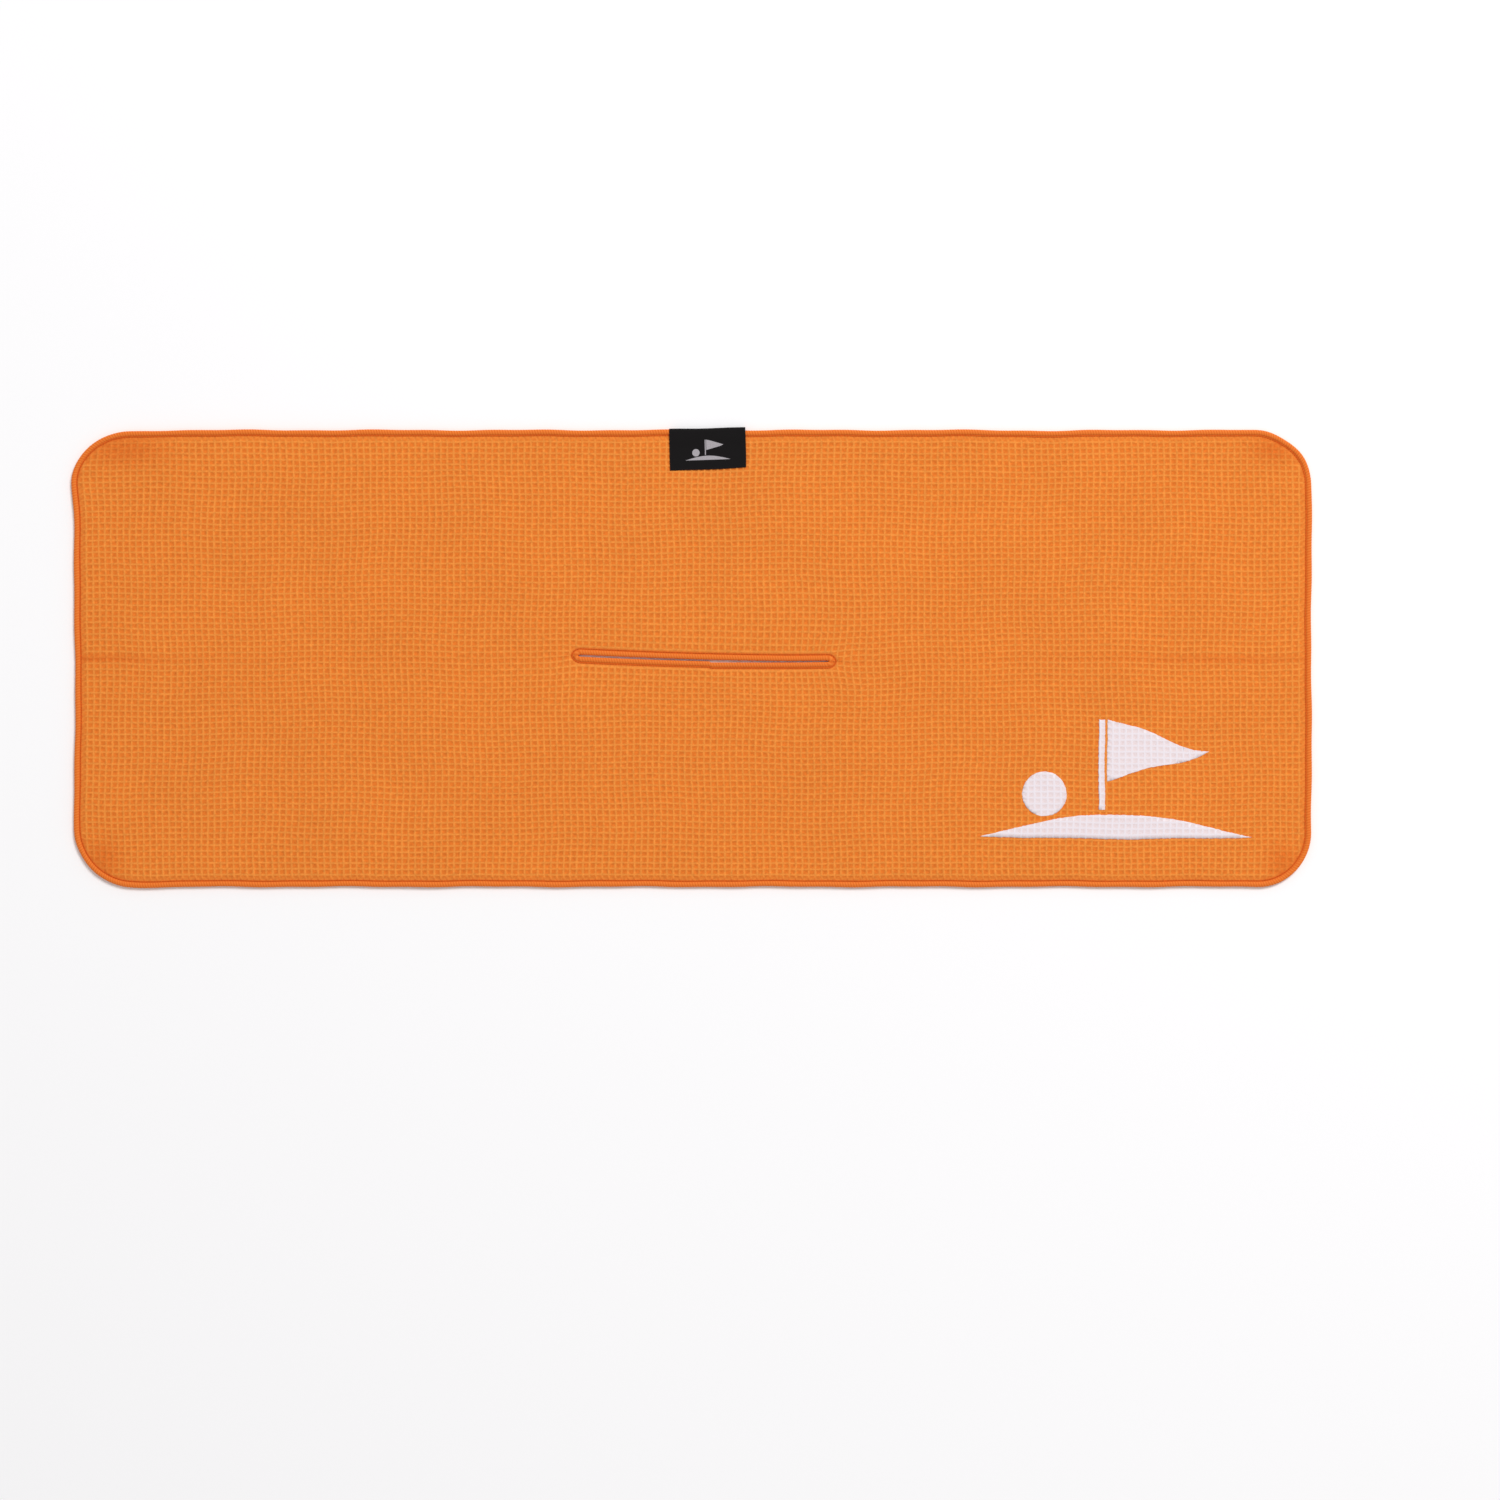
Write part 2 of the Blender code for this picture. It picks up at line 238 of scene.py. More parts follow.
def arc_points(
    centre: Sequence[float], radius: float, start: float, end: float, count: int
) -> np.ndarray:
    """Points on an arc, both ends included.

    Args:
        centre: The arc's centre.
        radius: Its radius.
        start: The angle of its first point, in degrees.
        end: The angle of its last point.
        count: How many steps it is cut into.

    Returns:
        One row for each point.
    """
    angles = np.radians(np.linspace(start, end, count + 1))
    return np.asarray(centre) + radius * np.stack([np.cos(angles), np.sin(angles)], axis=1)


def thread_through(corners: np.ndarray, step: float) -> np.ndarray:
    """Adds points along a closed line, so that none is further than a step from the next."""
    found = []
    for a, b in zip(corners, np.roll(corners, -1, axis=0)):
        count = max(1, math.ceil(np.linalg.norm(b - a) / step))
        found.append(a + (b - a) * (np.arange(count) / count)[:, None])
    return np.concatenate(found)


def inside(outline: np.ndarray, points: np.ndarray) -> np.ndarray:
    """Says which points lie inside a closed outline."""
    found = np.zeros(len(points), bool)
    for a, b in zip(outline, np.roll(outline, -1, axis=0)):
        if a[1] == b[1]:
            continue
        crosses = (points[:, 1] < a[1]) != (points[:, 1] < b[1])
        at = a[0] + (points[:, 1] - a[1]) * (b[0] - a[0]) / (b[1] - a[1])
        found ^= crosses & (points[:, 0] < at)
    return found


@dataclass(frozen=True)
class Cut:
    """The towel's flat cut: its rim, and the slit that a club goes through."""

    low: np.ndarray
    high: np.ndarray
    slit_left: float
    slit_right: float
    slit_half: float
    corner: float = 45 * MM
    seam: float = 4.6 * MM
    needle: float = 5.2 * MM
    corner_steps: int = 16
    slit_steps: int = 12

    @classmethod
    def from_frame(cls) -> Cut:
        """Reads the cut from the frame's seams."""
        rim = [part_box(f"edge_overlock_{half}") for half in ("upper", "lower")]
        slit = [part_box(f"slit_overlock_{half}") for half in ("upper", "lower")]
        low = np.min([b[0][:2] for b in rim], axis=0)
        high = np.max([b[1][:2] for b in rim], axis=0)
        slit_low = np.min([b[0][:2] for b in slit], axis=0)
        slit_high = np.max([b[1][:2] for b in slit], axis=0)
        return cls(
            low,
            high,
            slit_low[0] + cls.seam,
            slit_high[0] - cls.seam,
            (slit_high[1] - slit_low[1]) / 2 - cls.seam,
        )

    @property
    def slit_ends(self) -> tuple[np.ndarray, np.ndarray]:
        """The centres of the slit's two round ends."""
        left = np.array([self.slit_left + self.slit_half, 0.0])
        right = np.array([self.slit_right - self.slit_half, 0.0])
        return left, right

    def from_rim(self, flat: np.ndarray) -> tuple[np.ndarray, np.ndarray]:
        """How far inside the rim each place lies, and which way is straight out.

        Args:
            flat: Places on the flat cloth.

        Returns:
            The depths, and the outward directions.
        """
        local = flat - (self.low + self.high) / 2
        beyond = np.abs(local) - ((self.high - self.low) / 2 - self.corner)
        depth = self.corner - np.linalg.norm(np.maximum(beyond, 0), axis=1)
        depth -= np.minimum(beyond.max(axis=1), 0)
        out = np.where(
            (beyond.min(axis=1) > 0)[:, None],
            beyond,
            (beyond >= beyond.max(axis=1, keepdims=True)).astype(float),
        )
        out = out / np.linalg.norm(out, axis=1, keepdims=True)
        return depth, out * np.where(local < 0, -1, 1)

    def from_slit(self, flat: np.ndarray) -> tuple[np.ndarray, np.ndarray]:
        """How far outside the slit's mouth each place lies, and which way leads away from it."""
        left, right = self.slit_ends
        nearest = np.stack([np.clip(flat[:, 0], left[0], right[0]), np.zeros(len(flat))], axis=1)
        away = flat - nearest
        distance = np.linalg.norm(away, axis=1)
        return distance - self.slit_half, away / np.maximum(distance, 1e-9)[:, None]

    def from_seams(self, flat: np.ndarray) -> np.ndarray:
        """How far each place lies from the nearer of the rim and the slit's mouth."""
        return np.minimum(self.from_rim(flat)[0], self.from_slit(flat)[0])

    def rim(self, depth: float) -> np.ndarray:
        """The corner points of a line that follows the rim at a depth, anticlockwise."""
        radius = self.corner - depth
        found = []
        for start, x, y in (
            (0, self.high[0], self.high[1]),
            (90, self.low[0], self.high[1]),
            (180, self.low[0], self.low[1]),
            (270, self.high[0], self.low[1]),
        ):
            centre = (
                x - math.copysign(self.corner, x),
                y - math.copysign(self.corner, y),
            )
            found.append(arc_points(centre, radius, start, start + 90, self.corner_steps))
        return np.concatenate(found)

    def mouth(self, outset: float) -> np.ndarray:
        """The corner points of a line that goes round the slit at a distance, anticlockwise."""
        left, right = self.slit_ends
        radius = self.slit_half + outset
        return np.concatenate(
            [
                arc_points(right, radius, -90, 90, self.slit_steps),
                arc_points(left, radius, 90, 270, self.slit_steps),
            ]
        )


# ---------------------------------------------------------------------------------------------------
# How the towel lies


@dataclass(frozen=True)
class Pull:
    """A place where the cloth is drawn out of line, felt less and less around it. Millimetres."""

    x: float
    y: float
    by_x: float
    by_y: float
    reach_x: float
    reach_y: float

    def shift(self, flat: np.ndarray) -> np.ndarray:
        """How far it moves each place."""
        away = ((flat[:, 0] / MM - self.x) / self.reach_x) ** 2
        away = away + ((flat[:, 1] / MM - self.y) / self.reach_y) ** 2
        return np.exp(-away)[:, None] * np.array([self.by_x, self.by_y]) * MM


@dataclass(frozen=True)
class Pucker:
    """A corner where easing the cloth round the seam flattens it and gathers it in ripples."""

    x: float
    y: float
    reach_x: float
    reach_y: float
    ripple: float = 6.4

    def weight(self, flat: np.ndarray) -> np.ndarray:
        """How strongly each place feels it, from 0 to 1."""
        away = ((flat[:, 0] / MM - self.x) / self.reach_x) ** 2
        return np.exp(-away - ((flat[:, 1] / MM - self.y) / self.reach_y) ** 2)

    def lift(self, flat: np.ndarray) -> np.ndarray:
        """The ripples' heights, in millimetres for a ripple of full height."""
        turn = 2 * math.pi * (flat[:, 1] / MM - 0.12 * flat[:, 0] / MM) / self.ripple
        return (0.5 + 0.5 * np.sin(turn)) * self.weight(flat)


@dataclass(frozen=True)
class Wave:
    """A wave over the cloth: its height, its lengths along and across it, and where it starts."""

    height: float
    along: float
    across: float
    start: float = 0.0

    def at(self, flat: np.ndarray) -> np.ndarray:
        """How high it stands at each place."""
        turn = flat[:, 0] / self.along + flat[:, 1] / self.across
        return self.height * np.sin(2 * math.pi * turn + self.start)


@dataclass(frozen=True)
class Crease:
    """A soft line left by folding, across the width of the towel."""

    x: float
    lean: float
    height: float
    reach: float

    def lift(self, flat: np.ndarray) -> np.ndarray:
        """How far it raises each place, or lowers it where its height is below 0."""
        away = (flat[:, 0] - self.x - self.lean * flat[:, 1]) / self.reach
        return self.height * np.exp(-(away**2))


@dataclass(frozen=True)
class Lay:
    """How the flat cut really lies: drawn out of line here and there, and never quite flat."""

    cut: Cut
    pulls: tuple[Pull, ...] = (
        Pull(-508, 148, -2.4, 0.0, 40, 22),
        Pull(-508, -30, 1.3, 0.0, 40, 130),
        Pull(-474, 186, 0.4, -1.5, 28, 22),
        Pull(-494, -174, 1.4, 1.4, 28, 28),
        Pull(-440, -188, 0.0, -0.8, 26, 20),
        Pull(484, 181, -0.9, -0.9, 20, 20),
        Pull(300, 187, 0.0, -0.6, 34, 30),
        Pull(116, 0, -3.6, 0.4, 26, 16),
    )
    puckers: tuple[Pucker, ...] = (
        Pucker(-466, 171, 34, 13),
        Pucker(-484, -166, 14, 16),
        Pucker(478, 172, 20, 11),
        Pucker(484, -168, 14, 14),
    )
    pucker_height: float = 0.30 * MM
    creases: tuple[Crease, ...] = (
        Crease(155 * MM, 0.03, 0.22 * MM, 11 * MM),
        Crease(267 * MM, -0.02, -0.20 * MM, 13 * MM),
        Crease(-210 * MM, 0.05, 0.24 * MM, 16 * MM),
    )
    slit_sag: tuple[float, float, float] = (-2.4 * MM, -2.5 * MM, 1.4 * MM)
    slit_gap: float = 1.15 * MM
    slit_gap_right: float = 0.6 * MM
    slit_reach: float = 42 * MM
    lip_reach: float = 16 * MM
    lip_step: float = 0.9 * MM
    lip_step_at: float = 13.6 * MM
    lip_step_length: float = 1.5 * MM
    lip_step_reach: float = 40 * MM
    drift: float = 0.9 * MM
    drift_edge: float = 45 * MM
    drift_along: tuple[Wave, ...] = (Wave(1.0, 0.61, 0.23, 0.4), Wave(0.5, -0.33, 0.071))
    drift_across: tuple[Wave, ...] = (Wave(1.0, 0.29, -0.47, 1.1), Wave(0.4, 0.083, 0.29))
    edge_wave: float = 0.35 * MM
    edge_reach: float = 20 * MM
    edge_waves: tuple[Wave, ...] = (
        Wave(1.0, 0.117, 0.117 / 0.7, 1.9),
        Wave(0.6, 0.049, -0.049 / 0.9, 0.5),
    )
    table_gap: float = 0.12 * MM
    crease_at: float = -1.2 * MM
    crease_depth: float = 0.28 * MM
    crease_width: float = 2.4 * MM
    crease_least: float = 0.12
    crease_ends: tuple[tuple[float, float, float], ...] = (
        (1.0, -508 * MM, 62 * MM),
        (0.55, 440 * MM, 85 * MM),
    )
    swell: float = 0.16 * MM
    swells: tuple[Wave, ...] = (Wave(0.8, 0.31, 0.83, 0.6), Wave(0.6, 0.147, -0.43, 2.1))
    ruffle: float = 0.16 * MM
    ruffle_reach: float = 16 * MM

    def slit_shift(self, flat: np.ndarray) -> np.ndarray:
        """How the slit hangs: turned a little, its lips drawn towards each other."""
        left, right = self.cut.slit_ends
        middle = (left[0] + right[0]) / 2
        along = flat[:, 0] - middle
        across = flat[:, 1]
        half_length = (right[0] - left[0]) / 2
        past = np.maximum(np.abs(along) - half_length, 0)
        near = np.exp(-((past / self.slit_reach) ** 2) - (across / self.slit_reach) ** 2)
        place = np.clip(along / half_length, -1.05, 1.05)
        sag = (self.slit_sag[0] + self.slit_sag[1] * place + self.slit_sag[2] * place**2) * near
        closing = smooth(place * 0.5 + 0.5)
        gap = self.slit_gap + (self.slit_gap_right - self.slit_gap) * closing
        draw = np.maximum(self.cut.slit_half - gap / 2, 0)
        side = np.tanh(across / (0.6 * self.cut.slit_half))
        beyond = np.maximum(np.abs(across) - self.cut.slit_half - self.cut.seam, 0)
        fade = np.exp(-beyond / self.lip_reach) * np.exp(-((past / (3 * self.cut.seam)) ** 2))
        past_step = flat[:, 0] - self.lip_step_at
        after = smooth(past_step / self.lip_step_length)
        after = after * np.exp(-np.maximum(past_step, 0) / self.lip_step_reach)
        step = np.where(across < 0, -self.lip_step * after, 0) * fade
        return np.stack([np.zeros(len(flat)), sag + step - side * draw * fade], axis=1)

    def drift_shift(self, flat: np.ndarray) -> np.ndarray:
        """How the rows and columns wander within the seams, and the rim in and out a little."""
        depth, out = self.cut.from_rim(flat)
        inner = smooth(depth / self.drift_edge) * smooth(self.cut.from_slit(flat)[0] / self.drift_edge)
        ways = [sum(w.at(flat) for w in each) for each in (self.drift_along, self.drift_across)]
        wander = np.stack(ways, axis=1) * (self.drift * inner)[:, None]
        wave = self.edge_wave * sum(w.at(flat) for w in self.edge_waves)
        wave = wave * np.exp(-np.maximum(depth, 0) / self.edge_reach)
        return wander + out * wave[:, None]

    def pinch(self, flat: np.ndarray) -> np.ndarray:
        """How hard the lengthwise crease is pressed at each place, from 0 to 1."""
        along = np.full(len(flat), self.crease_least)
        for strength, x, reach in self.crease_ends:
            along += strength * np.exp(-(((flat[:, 0] - x) / reach) ** 2))
        return along * np.exp(-(((flat[:, 1] - self.crease_at) / self.crease_width) ** 2))

    def lift(self, flat: np.ndarray) -> np.ndarray:
        """How far the cloth stands off the table at each place."""
        x, y = flat[:, 0], flat[:, 1]
        depth = self.cut.from_rim(flat)[0]
        found = np.full(len(flat), self.table_gap)
        for wave in self.swells:
            found += self.swell * (wave.height + wave.at(flat))
        near_rim = np.exp(-np.maximum(depth, 0) / self.ruffle_reach)
        waves = np.sin(2 * math.pi * (x + 0.4 * y) / 0.041 + 2 * np.sin(x / 0.03))
        waves = waves + np.sin(2 * math.pi * (y - 0.3 * x) / 0.053 + 1.3)
        found += 0.5 * self.ruffle * (1 + 0.5 * waves) * near_rim
        for crease in self.creases:
            found += crease.lift(flat)
        for pucker in self.puckers:
            found += self.pucker_height * pucker.lift(flat)
        found -= self.crease_depth * self.pinch(flat)
        return np.maximum(found, self.table_gap)

    def place(self, points: np.ndarray) -> np.ndarray:
        """Takes places on the flat cut, with heights above it, to where they lie.

        Args:
            points: One row for each point: along, across, and height.

        Returns:
            The same points as they lie.
        """
        flat = points[:, :2]
        moved = points.copy()
        moved[:, :2] += self.slit_shift(flat) + self.drift_shift(flat)
        for pull in self.pulls:
            moved[:, :2] += pull.shift(flat)
        moved[:, 2] += self.lift(flat)
        return moved


# ---------------------------------------------------------------------------------------------------
# Finishes


@dataclass(frozen=True)
class Speckle:
    """One size of unevenness in a cloth's tone, and how much it brings to the tone."""

    size: float
    detail: float
    roughness: float
    share: float


@dataclass(frozen=True)
class WaffleMicrofibre:
    """Polyester and polyamide microfibre, knitted in a waffle and dyed or printed.

    The split fibres scatter light at every angle, so it is matt, with a pale bloom at a grazing
    angle. Ridges catch the light; the deeper, warmer tone of the pits is painted shade, and so is the
    darker tone in the groove beside each seam.
    """

    name: str
    ridge: str
    # pit and pressed are painted shade: in the pit floors, and in the groove by the seams, along the
    # crease and in the puckered corners.
    pit: str
    pressed: str
    check_ridge: str | None = None
    # Painted shade on the white checks: in the pits, and in the groove by the seams.
    check_pit_shade: str | None = None
    check_groove_shade: str | None = None
    check_blur: float = 0.016
    check_ravel: float = 1.6 * MM
    yarn: float = 0.55 * MM
    tone_base: float = 0.58
    blotch: Speckle = Speckle(70 * MM, 3.0, 0.6, 0.10)
    fibre: Speckle = Speckle(2 * 0.55 * MM, 4.0, 0.75, 0.30)
    mottle: Speckle = Speckle(5 * 0.55 * MM, 2.0, 0.7, 0.48)
    relief: float = 0.25 * MM

    def tone(
        self, tree: bpy.types.NodeTree, shades: tuple[str, str, str], pit: object, seam: object
    ) -> bpy.types.NodeSocket:
        """Mixes the ridge tone with painted shade: in the pits by how deep each place lies, and in the
        groove by the seams.

        Args:
            tree: The material's tree.
            shades: The ridge tone, the pits' painted shade and the grooves' painted shade, as hex
                colours.
            pit: The socket that says how deep in a pit a place is.
            seam: The socket that says how near a seam it is, and on the front also how near the crease
                and the puckered corners; painted shade falls there.

        Returns:
            The mixed colour.
        """
        deep = add(
            tree,
            "ShaderNodeMix",
            {0: pit, 6: linear(shades[0]), 7: linear(shades[1])},
            data_type="RGBA",
        )
        near = add(
            tree,
            "ShaderNodeMix",
            {0: seam, 6: deep.outputs[2], 7: linear(shades[2])},
            data_type="RGBA",
        )
        return near.outputs[2]

    def checks(self, tree: bpy.types.NodeTree, cloth: bpy.types.Node) -> bpy.types.NodeSocket:
        """The printed checks as a mask: 1 in the white ones. Their edges follow the yarns."""
        wobble = add(
            tree,
            "ShaderNodeTexNoise",
            {"Vector": cloth, "Scale": 1 / self.check_ravel, "Detail": 1.0},
            noise_dimensions="2D",
        )
        away = add(
            tree,
            "ShaderNodeVectorMath",
            {0: wobble.outputs["Color"], 1: (0.5, 0.5, 0.5)},
            operation="SUBTRACT",
        )
        blur = (self.check_blur, self.check_blur, 0)
        printed = add(tree, "ShaderNodeUVMap", uv_map="checks")
        moved = add(
            tree,
            "ShaderNodeVectorMath",
            {0: away, 1: blur, 2: printed},
            operation="MULTIPLY_ADD",
        )
        board = add(tree, "ShaderNodeTexChecker", {"Vector": moved, "Scale": 1.0})
        return board.outputs["Fac"]

    def material(self) -> bpy.types.Material:
        """Builds the material for one ply."""
        made, tree, shader = principled(self.name)
        cloth = add(tree, "ShaderNodeUVMap", uv_map="cloth")
        # Painted shade: the pit attribute darkens the pit floors, and the pressed attribute darkens the
        # groove by the seams and, on the front, the crease and the puckered corners.
        pit = add(tree, "ShaderNodeAttribute", attribute_name="pit").outputs["Fac"]
        seam = add(tree, "ShaderNodeAttribute", attribute_name="pressed").outputs["Fac"]
        shade = self.tone(tree, (self.ridge, self.pit, self.pressed), pit, seam)
        if self.check_ridge:
            other = (self.check_ridge, self.check_pit_shade, self.check_groove_shade)
            paler = self.tone(tree, other, pit, seam)
            mask = self.checks(tree, cloth)
            shade = add(
                tree, "ShaderNodeMix", {0: mask, 6: shade, 7: paler}, data_type="RGBA"
            ).outputs[2]
        tones: bpy.types.Node | float = self.tone_base
        for speckle in (self.blotch, self.mottle, self.fibre):
            noise = add(
                tree,
                "ShaderNodeTexNoise",
                {
                    "Vector": cloth,
                    "Scale": 1 / speckle.size,
                    "Detail": speckle.detail,
                    "Roughness": speckle.roughness,
                },
                noise_dimensions="2D",
            )
            tones = add(
                tree,
                "ShaderNodeMath",
                {0: noise, 1: speckle.share, 2: tones},
                operation="MULTIPLY_ADD",
            )
        # The last and finest noise is the fibre's own, which also roughens and lifts the face.
        rough = add(tree, "ShaderNodeMath", {0: noise, 1: 0.10, 2: 0.86}, operation="MULTIPLY_ADD")
        yarns = add(
            tree,
            "ShaderNodeTexVoronoi",
            {"Vector": cloth, "Scale": 1 / self.yarn, "Randomness": 0.7},
            voronoi_dimensions="2D",
        )
        weave = add(tree, "ShaderNodeMath", {0: yarns, 1: -0.6, 2: noise}, operation="MULTIPLY_ADD")
        looks = {
            "Base Color": add(
                tree, "ShaderNodeVectorMath", {0: shade, "Scale": tones}, operation="SCALE"
            ),
            "Roughness": rough,
            "Normal": add(
                tree, "ShaderNodeBump", {"Height": weave, "Strength": 0.55, "Distance": self.relief}
            ),
            "IOR": 1.45,
            "Specular IOR Level": 0.15,
            "Sheen Weight": 0.03,
            "Sheen Roughness": 0.6,
        }
        fill(tree, shader, looks)
        return made


@dataclass(frozen=True)
class SpunThread:
    """Polyester thread: bulked for the loopers, or corespun for the needle and the label.

    Its twisted filaments give a soft sheen along each turn. The darker lines between the turns, and the
    darker underside of the band, are painted shade.
    """

    name: str
    lit: str
    shade_colour: str
    roughness: float = 0.7
    twist: float = 0.45 * MM
    relief: float = 0.12 * MM
    sheen: float = 0.02

    def material(self) -> bpy.types.Material:
        """Builds the material; a valley attribute, where there is one, paints shade between the loops
        and under the band.
        """
        made, tree, shader = principled(self.name)
        place = add(tree, "ShaderNodeTexCoord").outputs["Object"]
        valley = add(tree, "ShaderNodeAttribute", attribute_name="valley").outputs["Fac"]
        fibre = add(
            tree,
            "ShaderNodeTexNoise",
            {"Vector": place, "Scale": 1 / self.twist, "Detail": 3.0, "Roughness": 0.7},
        )
        # Painted shade: the valley attribute darkens the thread between the loops and under the band,
        # and the fibre noise adds a little at random.
        depth = add(
            tree,
            "ShaderNodeMath",
            {0: fibre, 1: 0.3, 2: valley},
            operation="MULTIPLY_ADD",
            use_clamp=True,
        )
        shade = add(
            tree,
            "ShaderNodeMix",
            {0: depth, 6: linear(self.lit), 7: linear(self.shade_colour)},
            data_type="RGBA",
        )
        looks = {
            "Base Color": shade.outputs[2],
            "Normal": add(
                tree, "ShaderNodeBump", {"Height": fibre, "Strength": 0.35, "Distance": self.relief}
            ),
            "Roughness": self.roughness,
            "Specular IOR Level": 0.2,
            "Sheen Weight": self.sheen,
        }
        fill(tree, shader, looks)
        return made


@dataclass(frozen=True)
class WovenTape:
    """Narrow woven polyester: damask for the label, satin for the care tab.

    Fine yarns crossing at right angles give a cross-hatched face with a low sheen. They are drawn at
    the given spacing, coarser than real, so that the weave shows. Where the yarns cross the tape is
    painted in its lit colour, and between them in painted shade.
    """

    name: str
    lit: str
    shade_colour: str
    warp: float = 0.5 * MM
    weft: float = 0.35 * MM
    roughness: float = 0.7
    relief: float = 0.08 * MM
    shine: float = 0.3

    def material(self) -> bpy.types.Material:
        """Builds the material on the tape's own UV map."""
        made, tree, shader = principled(self.name)
        cloth = add(tree, "ShaderNodeUVMap", uv_map="cloth")
        waves = []
        for spacing, direction in ((self.warp, "X"), (self.weft, "Y")):
            # A wave of scale 1 repeats every tenth of a turn, which makes 20 / 2 pi per metre.
            wave = add(
                tree,
                "ShaderNodeTexWave",
                {"Vector": cloth, "Scale": 2 * math.pi / 20 / spacing},
                bands_direction=direction,
            )
            waves.append(wave.outputs["Fac"])
        weave = add(tree, "ShaderNodeMath", {0: waves[0], 1: waves[1]}, operation="MULTIPLY")
        # Painted light and shade: lit where the yarns cross, shade in the gaps between them.
        shade = add(
            tree,
            "ShaderNodeMix",
            {0: weave, 6: linear(self.shade_colour), 7: linear(self.lit)},
            data_type="RGBA",
        )
        looks = {
            "Base Color": shade.outputs[2],
            "Normal": add(
                tree, "ShaderNodeBump", {"Height": weave, "Strength": 0.5, "Distance": self.relief}
            ),
            "Roughness": self.roughness,
            "Specular IOR Level": self.shine,
        }
        fill(tree, shader, looks)
        return made


@dataclass(frozen=True)
class TransferFilm:
    """White polyurethane heat-transfer film, pressed on: smooth and softly glossy.

    The cloth's relief shows through, and it is slightly warm where it lies thin on the orange.
    """

    name: str
    lit: str
    thin: str
    grain: float = 1.1 * MM
    relief: float = 0.1 * MM

    def material(self) -> bpy.types.Material:
        """Builds the material; the `pit` attribute says where the film sinks into the waffle."""
        made, tree, shader = principled(self.name)
        place = add(tree, "ShaderNodeTexCoord").outputs["Object"]
        pit = add(tree, "ShaderNodeAttribute", attribute_name="pit").outputs["Fac"]
        grain = add(
            tree, "ShaderNodeTexNoise", {"Vector": place, "Scale": 1 / self.grain, "Detail": 2.0}
        )
        depth = add(
            tree, "ShaderNodeMath", {0: grain, 1: pit}, operation="MULTIPLY", use_clamp=True
        )
        shade = add(
            tree,
            "ShaderNodeMix",
            {0: depth, 6: linear(self.lit), 7: linear(self.thin)},
            data_type="RGBA",
        )
        looks = {
            "Base Color": shade.outputs[2],
            "Normal": add(
                tree, "ShaderNodeBump", {"Height": grain, "Strength": 0.2, "Distance": self.relief}
            ),
            "Roughness": 0.55,
            "IOR": 1.5,
        }
        fill(tree, shader, looks)
        return made


# Each cloth: its ridge colour, then the painted shade of its pits, then the painted shade in the groove
# by the seams, which on the front also darkens the crease and the puckered corners.
FRONT_CLOTH = WaffleMicrofibre("waffle_microfibre_orange", "#ED9340", "#DF7629", "#D7651E")
REVERSE_CLOTH = WaffleMicrofibre(
    "waffle_microfibre_checked",
    "#EA8740",
    "#D06322",
    "#D25B1A",
    check_ridge="#E9E7EC",
    check_pit_shade="#E0DCE3",
    check_groove_shade="#DCCFCB",
)
# Each thread: its lit colour, then its painted shade colour.
LOOPER_THREAD = SpunThread("bulked_polyester_looper_thread", "#FA9440", "#DD6819")
NEEDLE_THREAD = SpunThread("corespun_polyester_needle_thread", "#D2570F", "#AE4106")
LABEL_THREAD = SpunThread("black_polyester_sewing_thread", "#171415", "#060505", sheen=0.0)
# Each tape: its lit colour, then its painted shade colour between the yarns.
LABEL_WEAVE = WovenTape("damask_woven_label", "#1A1617", "#090708", shine=0.12)
LABEL_FIGURE = WovenTape("damask_woven_figure", "#D9D4D8", "#8D878C", relief=0.05 * MM)
TAB_SATIN = WovenTape("printed_satin_tape", "#F7F5F8", "#E4E1E6", roughness=0.45, relief=0.03 * MM)
TAB_INK = WovenTape("ink_on_satin_tape", "#2A282B", "#1A181B", roughness=0.5, relief=0.03 * MM)
PRINT_FILM = TransferFilm("polyurethane_transfer_film", "#EBE3EA", "#DFC3BF")


# ---------------------------------------------------------------------------------------------------
# Making pieces


def coordinates(mesh: bpy.types.Mesh) -> np.ndarray:
    """The places of a mesh's vertices, one row each."""
    found = np.empty(len(mesh.vertices) * 3, np.float32)
    mesh.vertices.foreach_get("co", found)
    return found.reshape(-1, 3).astype(float)


def move_to(mesh: bpy.types.Mesh, places: np.ndarray) -> None:
    """Moves a mesh's vertices to new places."""
    mesh.vertices.foreach_set("co", places.astype(np.float32).ravel())
    mesh.update()


def note(mesh: bpy.types.Mesh, name: str, values: np.ndarray) -> None:
    """Writes one number for each vertex as a named attribute."""
    old = mesh.attributes.get(name)
    if old:
        mesh.attributes.remove(old)
    mesh.attributes.new(name, "FLOAT", "POINT").data.foreach_set("value", values.astype(np.float32))


def map_cloth(mesh: bpy.types.Mesh, flat: np.ndarray, name: str = "cloth") -> None:
    """Gives a mesh a UV map: places on the flat cut in metres, or the map of a print."""
    layer = mesh.uv_layers.get(name) or mesh.uv_layers.new(name=name)
    corners = np.empty(len(mesh.loops), np.int32)
    mesh.loops.foreach_get("vertex_index", corners)
    layer.data.foreach_set("uv", flat[corners, :2].astype(np.float32).ravel())


def face_out(mesh: bpy.types.Mesh) -> None:
    """Turns the faces of closed shapes outwards."""
    shape = bmesh.new()
    shape.from_mesh(mesh)
    bmesh.ops.recalc_face_normals(shape, faces=shape.faces)
    shape.to_mesh(mesh)
    shape.free()


